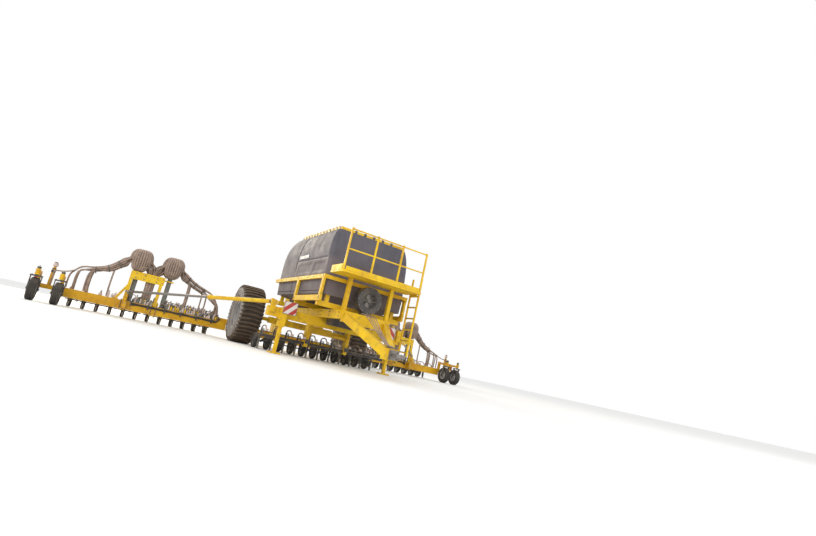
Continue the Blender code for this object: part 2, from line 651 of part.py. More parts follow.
# ---------------------------------------------------------------- wings
def make_wing_beam(side):
    """Wing beam with its fold knuckle, shaft bearings, brace bracket, tip arm and marker post."""
    front, rear = BAR_Y - BAR_DEPTH / 2, BAR_Y + BAR_DEPTH / 2
    frame = box_at(side, (CENTRE_END + 0.06, WING_END), (front, rear), BAR_Z)
    pivot = Vector((side * FOLD_X, BAR_Y, FOLD_Z))
    reach = Vector((0, 0.075, 0))
    web_z = (BAR_Z[1] - 0.03, FOLD_Z + 0.05)
    tools = [rod(pivot - reach, pivot + reach, FOLD_R, 16),
             box_at(side, (FOLD_X + 0.04, FOLD_X + 0.42), (BAR_Y - 0.07, BAR_Y + 0.07), web_z)]
    row = tine_row()
    bearing_z = (SHAFT_Z - 0.09, SHAFT_Z + 0.09)
    for k in (1, 5, 9):
        x = row[k] + TINE_PITCH / 2
        tools.append(box_at(side, (x, x + 0.07), (rear - 0.02, SHAFT_Y + 0.08), bearing_z))
    end = mirrored(BRACE_END, side)
    bracket_low = (end.x - 0.05, end.y - 0.05, BAR_Z[0] + 0.03)
    tools.append(box(bracket_low, (end.x + 0.05, front + 0.02, BAR_Z[1] - 0.03)))
    tools.append(rod((end.x, end.y, BAR_Z[0] + 0.06), (end.x, end.y, end.z - 0.075), 0.035, 16))
    arm_x = (WING_END - 0.3, TIP_WHEEL_X[0] + 0.035)
    tools.append(box_at(side, arm_x, (front + 0.02, front + 0.14), (0.38, 0.50)))
    marker = Vector((side * MARKER_X, front + 0.075, 0.42))
    tools.append(box(marker - Vector((0.045, 0.045, 0)), marker + Vector((0.045, 0.045, 0.53))))
    tools.append(rod(marker + Vector((0, 0, 0.48)), marker + Vector((0, 0, 0.70)), 0.035))
    cutters = [rod(pivot - 2 * reach, pivot + 2 * reach, 0.033, 12),
               rod((side * 2.0, SHAFT_Y, SHAFT_Z), (side * 7.0, SHAFT_Y, SHAFT_Z), SHAFT_R + 0.008, 8)]
    for x in TIP_WHEEL_X:
        tools.append(box_at(side, (x - 0.04, x + 0.04), (front + 0.03, front + 0.13), (0.40, 0.82)))
        tools.append(box_at(side, (x - 0.03, x + 0.03), (CASTOR_Y, front + 0.05), (0.72, 0.80)))
        tools.append(rod((side * x, CASTOR_Y, CASTOR_Z[0]), (side * x, CASTOR_Y, CASTOR_Z[1]), 0.055, 16))
        cutters.append(rod((side * x, CASTOR_Y, 0.6), (side * x, CASTOR_Y, 1.2), 0.033, 16))
    finish(cut(weld(frame, *tools), *cutters), f"wing_beam_{side_name(side)}", "yellow", pivot)


# ---------------------------------------------------------------- towers and hoses
def make_tower_frame(side):
    """Posts and cross rail on the wing beam, with a bored shelf under each distribution head."""
    base = BAR_Z[1] + GAP
    front = TOWER_Y - 0.17
    rail = box_at(side, (POST_X[1] - 0.07, POST_X[0] + 0.04), (front, front + 0.07), TOWER_RAIL_Z)
    tools = []
    cutters = []
    post_top = TOWER_RAIL_Z[1] - 0.005
    for x in POST_X:
        post_x, foot_x = (x - 0.045, x + 0.045), (x - 0.09, x + 0.09)
        tools.append(box_at(side, post_x, (front + 0.005, front + 0.095), (base + 0.01, post_top)))
        tools.append(box_at(side, foot_x, (front + 0.01, front + 0.055), (base, base + 0.02)))
    for x, reach in zip(TOWER_X, (0.12, 0.25)):
        tools.append(box_at(side, (x - 0.12, x + reach), (TOWER_Y - 0.12, TOWER_Y + 0.12), TOWER_SHELF_Z))
        cutters.append(rod((side * x, TOWER_Y, 1.2), (side * x, TOWER_Y, 1.6), 0.073, 20))
    strut_top = (side * POST_X[0], TOWER_Y - 0.12, 1.02)
    strut_foot = (side * (POST_X[0] + 0.23), TOWER_Y - 0.12, base + 0.025)
    tools.append(beam(strut_top, strut_foot, 0.05, 0.07))
    foot_x = (POST_X[0] + 0.15, POST_X[0] + 0.33)
    tools.append(box_at(side, foot_x, (TOWER_Y - 0.15, TOWER_Y + 0.02), (base, base + 0.02)))
    finish(cut(weld(rail, *tools), *cutters), f"tower_frame_{side_name(side)}", "yellow")


def make_tower(side, index):
    """Riser pipe and distribution head, in one turned form."""
    base = BAR_Z[1] + GAP
    profile = [(0, base), (0.095, base), (0.095, base + 0.02), (0.07, base + 0.02), (0.07, DOME_Z - 0.04),
               (0.18, DOME_Z - 0.04), (0.29, DOME_Z + 0.07), (DOME_R, DOME_Z + 0.20),
               (DOME_R - 0.02, DOME_Z + 0.38), (0.23, DOME_Z + 0.51), (0.11, DOME_TOP), (0, DOME_TOP)]
    piece = lathe(profile, (side * TOWER_X[index], TOWER_Y, 0), (0, 0, 1), 14)
    finish(piece, f"tower_{index + 1}_{side_name(side)}", "hose", smooth=True)


def smooth_route(points, steps=3):
    """Catmull-Rom curve through the points."""
    points = [Vector(p) for p in points]
    padded = [2 * points[0] - points[1]] + points + [2 * points[-1] - points[-2]]
    route = []
    for i in range(1, len(padded) - 2):
        a, b, c, d = padded[i - 1:i + 3]
        for k in range(steps):
            t = k / steps
            route.append(0.5 * ((2 * b) + (c - a) * t + (2 * a - 5 * b + 4 * c - d) * t * t
                                + (3 * b - a - 3 * c + d) * t ** 3))
    return route + [points[-1]]


def sweep(points, radius, sides=6, name="tool"):
    """A round bar along a route that stays in a plane of constant Y."""
    loops = []
    for i, point in enumerate(points):
        along = (points[min(i + 1, len(points) - 1)] - points[max(i - 1, 0)]).normalized()
        across = Vector((0, 1, 0))
        up = along.cross(across).normalized()
        loops.append([point + across * (radius * math.cos(2 * math.pi * k / sides))
                      + up * (radius * math.sin(2 * math.pi * k / sides)) for k in range(sides)])
    return loft(loops, name)


def make_hoses(side):
    """Hose bundles from the heads to the tip and to the wing's root."""
    y = TOWER_Y
    outer = [(5.43, 1.66), (5.56, 1.53), (5.80, 1.34), (6.10, 1.21), (6.42, 1.13), (6.66, 1.07)]
    inner = [(3.75, 1.66), (3.61, 1.57), (3.38, 1.45), (3.10, 1.34), (2.82, 1.22), (2.60, 1.06)]
    for word, route in (("outer", outer), ("inner", inner)):
        points = smooth_route([(side * x, y, z) for x, z in route])
        finish(sweep(points, 0.055), f"hose_bundle_{word}_{side_name(side)}", "hose", smooth=True)


# ---------------------------------------------------------------- tip wheels and braces
def make_tip_wheel(side, index):
    """Castor fork, its spindle in the wing's sleeve, and the gauge wheel."""
    x = side * TIP_WHEEL_X[index]
    label = f"{index + 1}_{side_name(side)}"
    fork = box((x - 0.138, CASTOR_Y - 0.06, 0.645), (x + 0.138, CASTOR_Y + 0.10, 0.685))
    tools = [rod((x, CASTOR_Y, 0.66), (x, CASTOR_Y, CASTOR_Z[1] + 0.05), 0.030),
             rod((x, CASTOR_Y, CASTOR_Z[1] + 0.02), (x, CASTOR_Y, CASTOR_Z[1] + 0.07), 0.048),
             rod((x - 0.15, TIP_Y, TIP_WHEEL_R), (x + 0.15, TIP_Y, TIP_WHEEL_R), 0.02)]
    for way in (-1, 1):
        arm_x = x + way * 0.125
        tools.append(beam((arm_x, CASTOR_Y + 0.03, 0.66), (arm_x, TIP_Y, 0.27), 0.02, 0.08))
    finish(weld(fork, *tools), f"castor_fork_{label}", "dark", (x, CASTOR_Y, CASTOR_Z[0]))
    half = TIP_WHEEL_W / 2
    profile = [(0.023, -half), (TIP_WHEEL_R - 0.05, -half), (TIP_WHEEL_R, -half + 0.04),
               (TIP_WHEEL_R, half - 0.04), (TIP_WHEEL_R - 0.05, half), (0.023, half)]
    centre = (x, TIP_Y, TIP_WHEEL_R)
    finish(lathe(profile, centre, (side, 0, 0), 20), f"tip_wheel_{label}", "rubber", centre, smooth=True)


def brace_target(fold):
    """Where the wing's brace bracket is, seen from the brace ball, at a fold angle."""
    x, z = BRACE_END.x - FOLD_X, BRACE_END.z - FOLD_Z
    c, s = math.cos(fold), math.sin(fold)
    return Vector((FOLD_X + x * c - z * s, BRACE_END.y, FOLD_Z + x * s + z * c)) - BRACE_PIN


def brace_axis():
    """Left brace's swing axis: its three directions at rest, half and full fold lie on one cone."""
    first, middle, last = (brace_target(math.radians(a)).normalized() for a in (0, 45, 90))
    axis = (middle - first).cross(last - first).normalized()
    return axis if axis.y > 0 else -axis


def make_brace(side):
    """Tube with its ball eye at the cross beam, and the rod that slides in it."""
    pin, end = mirrored(BRACE_PIN, side), mirrored(BRACE_END, side)
    along = (end - pin).normalized()
    length = (end - pin).length
    hinge = mirrored(brace_axis(), side)
    eye_axis = (hinge - along * hinge.dot(along)).normalized()
    bore = BRACE_ROD_R + 0.004
    tube_line = [(0, 0.074), (BRACE_TUBE_R, 0.074), (BRACE_TUBE_R, BRACE_TUBE_LENGTH),
                 (bore, BRACE_TUBE_LENGTH), (bore, 0.13), (0, 0.13)]
    tube = lathe(tube_line, pin, along, 20)
    tube_eye = ring(pin, eye_axis, BRACE_EYE[0], BRACE_EYE[1], 0.030, 20)
    word = side_name(side)
    finish(weld(tube, tube_eye), f"brace_tube_{word}", "yellow", pin, smooth=True)
    slide = lathe([(0, length - BRACE_ROD_LENGTH), (BRACE_ROD_R, length - BRACE_ROD_LENGTH),
                   (BRACE_ROD_R, length - 0.05), (0, length - 0.05)], pin, along, 16)
    rod_eye = ring(end, (0, 0, 1), 0.034, 0.068, 0.05, 20)
    finish(weld(slide, rod_eye), f"brace_rod_{word}", "steel", end, smooth=True)


def build():
    clear_scene()
    for side in (-1, 1):
        make_wheel(side)
        make_support_leg(side)
        make_warning_board(side)
    make_axle()
    make_chassis()
    make_cross_beam()
    make_drawbar()
    make_hitch_eye()
    make_tank()
    for where in HATCH_Y:
        make_lid(where)
        make_meter_box(where)
        make_meter_roller(where)
    make_top_rail()
    make_cradle()
    make_fan()
    make_platform()
    make_ladder()
    make_rear_toolbar()
    make_centre_openers()
    for side in (-1, 1):
        make_wing_beam(side)
        make_wing_openers(side)
        make_tower_frame(side)
        for index in range(2):
            make_tower(side, index)
            make_tip_wheel(side, index)
        make_brace(side)
        make_hoses(side)


build()
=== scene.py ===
"""Looks of a trailed seed cart with two folding seeding wings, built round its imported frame.

Metres, +Z up. The cart travels towards -Y, and its left side is +X.
"""
import json
import math
import random

import bmesh
import bpy
from mathutils import Matrix, Vector


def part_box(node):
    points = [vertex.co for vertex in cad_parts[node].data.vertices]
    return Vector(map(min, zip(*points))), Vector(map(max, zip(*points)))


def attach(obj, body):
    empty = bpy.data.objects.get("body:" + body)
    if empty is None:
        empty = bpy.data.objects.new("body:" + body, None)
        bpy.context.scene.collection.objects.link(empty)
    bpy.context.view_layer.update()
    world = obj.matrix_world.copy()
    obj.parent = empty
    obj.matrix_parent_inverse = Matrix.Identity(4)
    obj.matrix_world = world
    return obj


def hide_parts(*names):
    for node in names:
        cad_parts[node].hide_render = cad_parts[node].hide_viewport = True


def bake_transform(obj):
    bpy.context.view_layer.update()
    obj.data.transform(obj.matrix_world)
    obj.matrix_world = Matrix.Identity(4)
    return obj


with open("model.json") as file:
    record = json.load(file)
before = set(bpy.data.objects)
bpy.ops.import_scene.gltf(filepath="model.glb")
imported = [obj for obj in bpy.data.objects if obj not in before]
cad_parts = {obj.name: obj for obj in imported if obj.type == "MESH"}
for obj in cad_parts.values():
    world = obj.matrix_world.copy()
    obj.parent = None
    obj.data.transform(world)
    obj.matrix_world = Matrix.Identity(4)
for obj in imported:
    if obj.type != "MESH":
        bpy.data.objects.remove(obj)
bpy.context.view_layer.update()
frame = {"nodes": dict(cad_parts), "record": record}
SIDES = {"right": -1, "left": 1}
UP = Vector((0, 0, 1))


def middle(node):
    low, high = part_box(node)
    return (low + high) / 2


# ---------------------------------------------------------------- camera, floor and light
CAMERA_PLACE = Vector((-5.46, -13.33, 0.46))
CAMERA_YAW, CAMERA_PITCH, CAMERA_ROLL = 30.36, 11.19, 12.18      # degrees
LENS = 20.87                                                     # on a 36 mm sensor
FLOOR_REACH = 120


def make_camera():
    yaw, pitch, roll = (math.radians(a) for a in (CAMERA_YAW, CAMERA_PITCH, CAMERA_ROLL))
    forward = Vector((math.cos(pitch) * math.sin(yaw), math.cos(pitch) * math.cos(yaw), math.sin(pitch)))
    level = forward.cross(UP).normalized()
    above = level.cross(forward)
    right = level * math.cos(roll) + above * math.sin(roll)
    top = above * math.cos(roll) - level * math.sin(roll)
    data = bpy.data.cameras.new("camera")
    data.lens = LENS
    data.sensor_width = 36.0
    data.clip_end = 400.0
    camera = bpy.data.objects.new("camera", data)
    bpy.context.scene.collection.objects.link(camera)
    turn = Matrix((right, top, -forward)).transposed().to_4x4()
    camera.matrix_world = Matrix.Translation(CAMERA_PLACE) @ turn
    bpy.context.scene.camera = camera


def area_light(name, place, aim, size, power, colour):
    data = bpy.data.lights.new(name, "AREA")
    data.shape = "DISK"
    data.size = size
    data.energy = power
    data.color = colour
    light = bpy.data.objects.new(name, data)
    light.location = place
    light.rotation_euler = (Vector(aim) - Vector(place)).to_track_quat("-Z", "Y").to_euler()
    bpy.context.scene.collection.objects.link(light)


def make_stage():
    world = bpy.data.worlds.new("studio")
    bpy.context.scene.world = world
    world.use_nodes = True
    shade = world.node_tree.nodes["Background"]
    shade.inputs["Color"].default_value = (1.0, 1.0, 1.0, 1.0)
    shade.inputs["Strength"].default_value = 1.0
    bpy.context.scene.view_settings.view_transform = "Standard"
    area_light("key", (-15, -13, 12), (-1, 1, 1), 15.0, 1500, (1.0, 0.98, 0.95))
    area_light("fill", (12, -14, 9), (0, 0, 1), 12.0, 450, (0.95, 0.97, 1.0))
    area_light("rim", (-6, 17, 9), (-3, 2, 1), 10.0, 1900, (1.0, 0.88, 0.70))
    mesh = bpy.data.meshes.new("floor")
    corners = [(x * FLOOR_REACH, y * FLOOR_REACH, 0) for x, y in ((-1, -1), (1, -1), (1, 1), (-1, 1))]
    mesh.from_pydata(corners, [], [(0, 1, 2, 3)])
    floor = bpy.data.objects.new("floor", mesh)
    floor.location.z = -0.001
    bpy.context.scene.collection.objects.link(floor)
    paint = Paint("floor", 0.9)
    pale = paint.mix(paint.noise(0.6), (0.80, 0.80, 0.79), (0.84, 0.84, 0.83))
    paint.put(paint.shader.inputs["Base Color"], pale)
    mesh.materials.append(paint.material)


# ---------------------------------------------------------------- materials
class Paint:
    """A Principled material, with helpers that add its texture nodes in object coordinates."""

    def __init__(self, name, roughness, metallic=0.0, coat=0.0, specular=0.5):
        self.material = bpy.data.materials.new(name)
        self.material.use_nodes = True
        self.tree = self.material.node_tree
        self.shader = self.tree.nodes["Principled BSDF"]
        self.shader.inputs["Roughness"].default_value = roughness
        self.shader.inputs["Metallic"].default_value = metallic
        self.shader.inputs["Specular IOR Level"].default_value = specular
        self.shader.inputs["Coat Weight"].default_value = coat
        self.shader.inputs["Coat Roughness"].default_value = 0.25
        self.coords = self.tree.nodes.new("ShaderNodeTexCoord")

    def put(self, socket, value):
        if isinstance(value, bpy.types.NodeSocket):
            self.tree.links.new(value, socket)
        elif isinstance(value, tuple):
            socket.default_value = (*value, 1.0)
        else:
            socket.default_value = value

    def noise(self, scale, detail=5.0, stretch=(1, 1, 1)):
        mapping = self.tree.nodes.new("ShaderNodeMapping")
        mapping.inputs["Scale"].default_value = stretch
        texture = self.tree.nodes.new("ShaderNodeTexNoise")
        texture.inputs["Scale"].default_value = scale
        texture.inputs["Detail"].default_value = detail
        texture.inputs["Roughness"].default_value = 0.55
        self.put(mapping.inputs["Vector"], self.coords.outputs["Object"])
        self.put(texture.inputs["Vector"], mapping.outputs["Vector"])
        return texture.outputs["Fac"]

    def chips(self, scale, share):
        """Small round flaws: 1 inside a flaw, 0 outside."""
        texture = self.tree.nodes.new("ShaderNodeTexVoronoi")
        texture.inputs["Scale"].default_value = scale
        self.put(texture.inputs["Vector"], self.coords.outputs["Object"])
        return self.remap(texture.outputs["Distance"], share, share * 0.7)

    def remap(self, value, low, high, to_low=0.0, to_high=1.0):
        node = self.tree.nodes.new("ShaderNodeMapRange")
        for label, number in (("From Min", low), ("From Max", high), ("To Min", to_low), ("To Max", to_high)):
            node.inputs[label].default_value = number
        self.put(node.inputs["Value"], value)
        return node.outputs["Result"]

    def math(self, operation, first, second=0.0):
        node = self.tree.nodes.new("ShaderNodeMath")
        node.operation = operation
        self.put(node.inputs[0], first)
        self.put(node.inputs[1], second)
        return node.outputs[0]

    def mix(self, share, first, second):
        node = self.tree.nodes.new("ShaderNodeMix")
        node.data_type = "RGBA"
        self.put(node.inputs["Factor"], share)
        self.put(node.inputs[6], first)
        self.put(node.inputs[7], second)
        return node.outputs[2]

    def axis(self, output, letter):
        node = self.tree.nodes.new("ShaderNodeSeparateXYZ")
        self.put(node.inputs[0], self.coords.outputs[output])
        return node.outputs[letter]

    def cloud(self, scale, low, high, detail=5.0):
        """Noise spread so that low becomes 0 and high becomes 1."""
        return self.remap(self.noise(scale, detail), low, high)

    def finish(self, colour, rough, grain):
        """Sets colour, roughness (scale, detail, low, high) and bump (scale, detail, share, depth)."""
        self.put(self.shader.inputs["Base Color"], colour)
        scale, detail, low, high = rough
        self.put(self.shader.inputs["Roughness"], self.remap(self.noise(scale, detail), 0.3, 0.7, low, high))
        scale, detail, share, depth = grain
        node = self.tree.nodes.new("ShaderNodeBump")
        node.inputs["Strength"].default_value = share
        node.inputs["Distance"].default_value = depth
        self.put(node.inputs["Height"], self.noise(scale, detail))
        self.put(self.shader.inputs["Normal"], node.outputs["Normal"])
        return self.material

    def dusted(self, base, dust, amount, scale=3.0):
        """Dust in blotches, thickest on faces that point up."""
        blotch = self.cloud(scale, 0.38, 0.68, 6.0)
        up = self.remap(self.axis("Normal", "Z"), 0.35, 0.95)
        share = self.math("MULTIPLY", self.math("ADD", self.math("MULTIPLY", blotch, 0.45), up), amount)
        return self.mix(self.math("MINIMUM", share, 0.9), base, dust)


DUST = (0.46, 0.37, 0.25)


def yellow_enamel(name, wear, deep, light):
    paint = Paint(name, 0.45, coat=0.06, specular=0.25)
    base = paint.dusted(paint.mix(paint.cloud(1.3, 0.35, 0.65), deep, light), DUST, 0.14)
    grime = paint.math("MULTIPLY", paint.cloud(7.0, 0.52, 0.72, 8.0), 0.45)
    base = paint.mix(grime, base, (0.20, 0.12, 0.035))
    flaws = paint.math("MULTIPLY", paint.chips(26.0, 0.20 * wear), paint.cloud(4.0, 0.50, 0.58))
    base = paint.mix(flaws, base, (0.10, 0.065, 0.04))
    return paint.finish(base, (5.0, 7.0, 0.30, 0.62), (60.0, 3.0, 0.10, 0.002))


def moulded_tank():
    """Grey plastic with faint vertical streaks; above the ledge line it is a little cooler and darker, which is
    painted shade and painted sky tint.
    """
    paint = Paint("tank_plastic", 0.55, specular=0.14)
    low = paint.mix(paint.cloud(0.9, 0.3, 0.7, 4.0), (0.115, 0.095, 0.102), (0.160, 0.135, 0.142))
    high = paint.mix(paint.cloud(1.4, 0.3, 0.7, 4.0), (0.082, 0.078, 0.094), (0.122, 0.115, 0.134))
    # low is the wall's own colour below the ledge line; high, above it, is painted shade with a cool painted sky
    # tint where the wall leans up to the light.
    base = paint.mix(paint.remap(paint.axis("Object", "Z"), 2.62, 2.78), low, high)
    streaks = paint.remap(paint.noise(5.0, 6.0, (1, 1, 0.12)), 0.50, 0.72)
    base = paint.mix(paint.math("MULTIPLY", streaks, 0.35), base, (0.165, 0.155, 0.165))
    base = paint.dusted(base, (0.185, 0.172, 0.178), 0.20, 1.8)
    return paint.finish(base, (3.0, 6.0, 0.46, 0.66), (140.0, 3.0, 0.25, 0.002))


def dusty_rubber(name, base, dust, amount, grain=90.0):
    paint = Paint(name, 0.82)
    rubber = paint.mix(paint.cloud(6.0, 0.4, 0.7), base, tuple(c * 1.6 for c in base))
    rubber = paint.dusted(rubber, dust, amount, 5.0)
    return paint.finish(rubber, (9.0, 5.0, 0.70, 0.95), (grain, 4.0, 0.30, 0.003))


def tyre_wall():
    """Tyre carcass: dark between the lugs, and grey on its side walls, where a painted sheen is mixed with dust.
    """
    paint = Paint("tyre_wall", 0.85)
    side = paint.remap(paint.math("ABSOLUTE", paint.axis("Normal", "X")), 0.45, 0.85)
    sidewall_sheen_and_dust = paint.remap(paint.noise(4.0, 7.0), 0.30, 0.62, 0.45, 0.95)
    rubber = paint.mix(paint.noise(11.0), (0.030, 0.026, 0.022), (0.070, 0.055, 0.042))
    # The grey on the side walls is a painted sheen mixed with dust, in blotches.
    rubber = paint.mix(paint.math("MULTIPLY", side, sidewall_sheen_and_dust), rubber, (0.30, 0.275, 0.255))
    return paint.finish(rubber, (8.0, 5.0, 0.75, 0.95), (70.0, 5.0, 0.35, 0.003))


def metal(name, base, roughness):
    paint = Paint(name, roughness, metallic=1.0)
    bright = paint.mix(paint.noise(18.0), base, tuple(min(c * 1.35, 1.0) for c in base))
    bright = paint.dusted(bright, (0.33, 0.28, 0.22), 0.25, 6.0)
    return paint.finish(bright, (25.0, 6.0, roughness * 0.7, roughness * 1.5), (120.0, 3.0, 0.08, 0.001))


def enamel(name, base, dust_amount=0.35):
    paint = Paint(name, 0.5, coat=0.1)
    tone = paint.mix(paint.cloud(3.0, 0.35, 0.65), base, tuple(c * 1.5 for c in base))
    tone = paint.dusted(tone, DUST, dust_amount, 4.0)
    return paint.finish(tone, (7.0, 6.0, 0.38, 0.68), (80.0, 5.0, 0.12, 0.002))


def stripes():
    """Diagonal red and white bands, mirrored about the middle of the machine."""
    paint = Paint("board_stripes", 0.32, coat=0.3)
    diagonal = paint.math("ADD", paint.math("ABSOLUTE", paint.axis("Object", "X")), paint.axis("Object", "Z"))
    wave = paint.math("FRACT", paint.math("MULTIPLY", diagonal, 3.6))
    bands = paint.mix(paint.remap(wave, 0.49, 0.51), (0.42, 0.014, 0.010), (0.66, 0.63, 0.60))
    bands = paint.dusted(bands, DUST, 0.25, 9.0)
    return paint.finish(bands, (12.0, 5.0, 0.25, 0.5), (160.0, 2.0, 0.1, 0.001))


BRIGHT_YELLOW = ((0.64, 0.370, 0.005), (0.80, 0.53, 0.010))
# A darker amber copy of the same frame yellow: painted shade for the wing beams.
SHADED_AMBER_YELLOW = ((0.53, 0.265, 0.003), (0.70, 0.390, 0.005))
LOOKS = {
    "frame_yellow": yellow_enamel("frame_yellow", 1.0, *BRIGHT_YELLOW),
    "wing_yellow_shaded": yellow_enamel("wing_yellow_shaded", 1.2, *SHADED_AMBER_YELLOW),
    "yellow_edge": yellow_enamel("yellow_edge", 1.9, *BRIGHT_YELLOW),
    "tank_plastic": moulded_tank(),
    "dark_metal": enamel("dark_metal", (0.030, 0.030, 0.032)),
    "tyre_rubber": tyre_wall(),
    "lug_rubber": dusty_rubber("lug_rubber", (0.050, 0.030, 0.018), (0.27, 0.20, 0.13), 0.55, 60.0),
    "packer_rubber": dusty_rubber("packer_rubber", (0.026, 0.024, 0.022), (0.22, 0.17, 0.12), 0.35),
    "rim_paint": enamel("rim_paint", (0.30, 0.30, 0.31)),
    "bare_steel": metal("bare_steel", (0.22, 0.205, 0.19), 0.38),
    "hose_rubber": dusty_rubber("hose_rubber", (0.225, 0.165, 0.130), (0.44, 0.34, 0.27), 0.50, 140.0),
    "board_stripes": stripes(),
    "lid_plastic": enamel("lid_plastic", (0.035, 0.037, 0.042)),
    "pale_plastic": dusty_rubber("pale_plastic", (0.46, 0.38, 0.34), (0.40, 0.32, 0.24), 0.40),
    "grey_plastic": dusty_rubber("grey_plastic", (0.12, 0.13, 0.115), (0.34, 0.30, 0.24), 0.40),
    "red_lens": enamel("red_lens", (0.26, 0.022, 0.012), 0.2),
}


# ---------------------------------------------------------------- mesh building
def smooth_route(points, steps=6):
    """Catmull-Rom curve through the points."""
    points = [Vector(p) for p in points]
    padded = [2 * points[0] - points[1]] + points + [2 * points[-1] - points[-2]]
    route = []
    for i in range(1, len(padded) - 2):
        a, b, c, d = padded[i - 1:i + 3]
        for k in range(steps):
            t = k / steps
            route.append(0.5 * ((2 * b) + (c - a) * t + (2 * a - 5 * b + 4 * c - d) * t * t
                                + (3 * b - a - 3 * c + d) * t ** 3))
    return route + [points[-1]]


def circle(count, shift=0.0):
    """Cosine and sine of evenly spaced angles."""
    angles = [2 * math.pi * (k + shift) / count for k in range(count)]
    return [(math.cos(angle), math.sin(angle)) for angle in angles]


def both_ways(half, middle=()):
    """A wheel's section from its one side over to the other, from half of it."""
    return [(r, -x) for r, x in half] + list(middle) + [(r, x) for r, x in reversed(half)]


class Form:
    """Collects closed solids, then makes one piece of them."""

    def __init__(self):
        self.verts = []
        self.faces = []

    def add(self, verts, faces):
        start = len(self.verts)
        self.verts += [Vector(v) for v in verts]
        self.faces += [tuple(start + i for i in face) for face in faces]

    def box(self, low, high):
        lo = [min(a, b) for a, b in zip(low, high)]
        hi = [max(a, b) for a, b in zip(low, high)]
        verts = [(x, y, z) for x in (lo[0], hi[0]) for y in (lo[1], hi[1]) for z in (lo[2], hi[2])]
        self.add(verts, [(0, 1, 3, 2), (4, 6, 7, 5), (0, 4, 5, 1), (2, 3, 7, 6), (0, 2, 6, 4), (1, 5, 7, 3)])

    def bar(self, start, end, width, height):
        start, end = Vector(start), Vector(end)
        along = (end - start).normalized()
        side = along.cross(UP)
        side = side.normalized() if side.length > 1e-3 else Vector((1, 0, 0))
        top = side.cross(along)
        loops = [[p + side * (width / 2 * a) + top * (height / 2 * b)
                  for a, b in ((-1, -1), (1, -1), (1, 1), (-1, 1))] for p in (start, end)]
        self.loft(loops)

    def loft(self, loops, closed=False):
        """Joins equal loops. Open lofts are capped, and closed ones run back to their start."""
        count, total = len(loops[0]), len(loops)
        verts = [p for loop in loops for p in loop]
        faces = []
        for i in range(total if closed else total - 1):
            j = (i + 1) % total
            for k in range(count):
                n = (k + 1) % count
                faces.append((i * count + k, i * count + n, j * count + n, j * count + k))
        if not closed:
            faces += [tuple(range(count)), tuple(range(len(verts) - count, len(verts)))]
        self.add(verts, faces)

    def turned(self, profile, origin, axis, sides=32, closed=False):
        """Turns (radius, height) points about an axis."""
        matrix = Matrix.Translation(Vector(origin)) @ UP.rotation_difference(
            Vector(axis).normalized()).to_matrix().to_4x4()
        loops = [[matrix @ Vector((r * c, r * s, h)) for c, s in circle(sides)] for r, h in profile]
        self.loft(loops, closed)

    def rod(self, start, end, radius, sides=16):
        start, end = Vector(start), Vector(end)
        length = (end - start).length
        edge = min(radius, length) * 0.15
        self.turned([(radius - edge, 0), (radius, edge), (radius, length - edge), (radius - edge, length)],
                    start, end - start, sides)

    def ring(self, origin, axis, inner, outer, length, sides=32):
        half, edge = length / 2, (outer - inner) * 0.2
        self.turned([(inner, -half), (outer - edge, -half), (outer, -half + edge), (outer, half - edge),
                     (outer - edge, half), (inner, half)], origin, axis, sides, closed=True)

    def tube(self, points, radius, sides=8):
        """A round bar along a route, its section carried along without twist."""
        points = [Vector(p) for p in points]
        along = (points[1] - points[0]).normalized()
        across = along.orthogonal().normalized()
        loops = []
        for i, point in enumerate(points):
            ahead = (points[min(i + 1, len(points) - 1)] - points[max(i - 1, 0)]).normalized()
            across = (along.rotation_difference(ahead) @ across).normalized()
            along = ahead
            up = along.cross(across)
            width = radius(i / (len(points) - 1)) if callable(radius) else radius
            loops.append([point + across * (width * c) + up * (width * s) for c, s in circle(sides)])
        self.loft(loops)

    def bolt(self, place, axis, across=0.03, height=0.016):
        """A washer with a hexagon head on it, standing along axis."""
        place, axis = Vector(place), Vector(axis).normalized()
        self.turned([(across * 0.85, 0), (across * 0.85, height * 0.25)], place, axis, 16)
        self.turned([(across * 0.56, 0), (across * 0.56, height * 0.85), (across * 0.46, height)],
                    place + axis * height * 0.2, axis, 6)

    def bolts(self, xs, ys, zs, axis, across, height):
        """A bolt wherever the given coordinates meet."""
        for place in [(x, y, z) for x in xs for y in ys for z in zs]:
            self.bolt(place, axis, across, height)

    def mesh(self, name):
        mesh = bpy.data.meshes.new(name)
        mesh.from_pydata([tuple(v) for v in self.verts], [], self.faces)
        bm = bmesh.new()
        bm.from_mesh(mesh)
        bmesh.ops.recalc_face_normals(bm, faces=bm.faces)
        bm.to_mesh(mesh)
        bm.free()
        return mesh

    def piece(self, name, body, look, bevel=0.0, sharp=38.0, replaces=(), ride=True):
        """One object of all the solids: what body it rides, its look, and the CAD nodes it stands in for."""
        mesh = self.mesh(name)
        mesh.shade_smooth()
        mesh.set_sharp_from_angle(angle=math.radians(sharp))
        mesh.materials.append(LOOKS[look])
        made = bpy.data.objects.new(name, mesh)
        bpy.context.scene.collection.objects.link(made)
        if bevel:
            add_bevel(made, bevel)
        if ride:
            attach(made, body)
        if replaces:
            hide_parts(*replaces)
        return made


def add_bevel(item, width, edge_slot=-1):
    step = item.modifiers.new("edges", "BEVEL")
    step.width = width
    step.segments = 2
    step.limit_method = "ANGLE"
    step.angle_limit = math.radians(38)
    step.harden_normals = False
    step.material = edge_slot
    even = item.modifiers.new("shading", "WEIGHTED_NORMAL")
    even.keep_sharp = False


# ---------------------------------------------------------------- CAD nodes
BEVEL_OF_SLOT = {"frame_yellow": 0.007, "dark_metal": 0.004, "bare_steel": 0.003, "rim_paint": 0.006,
                 "board_stripes": 0.002, "lid_plastic": 0.005}


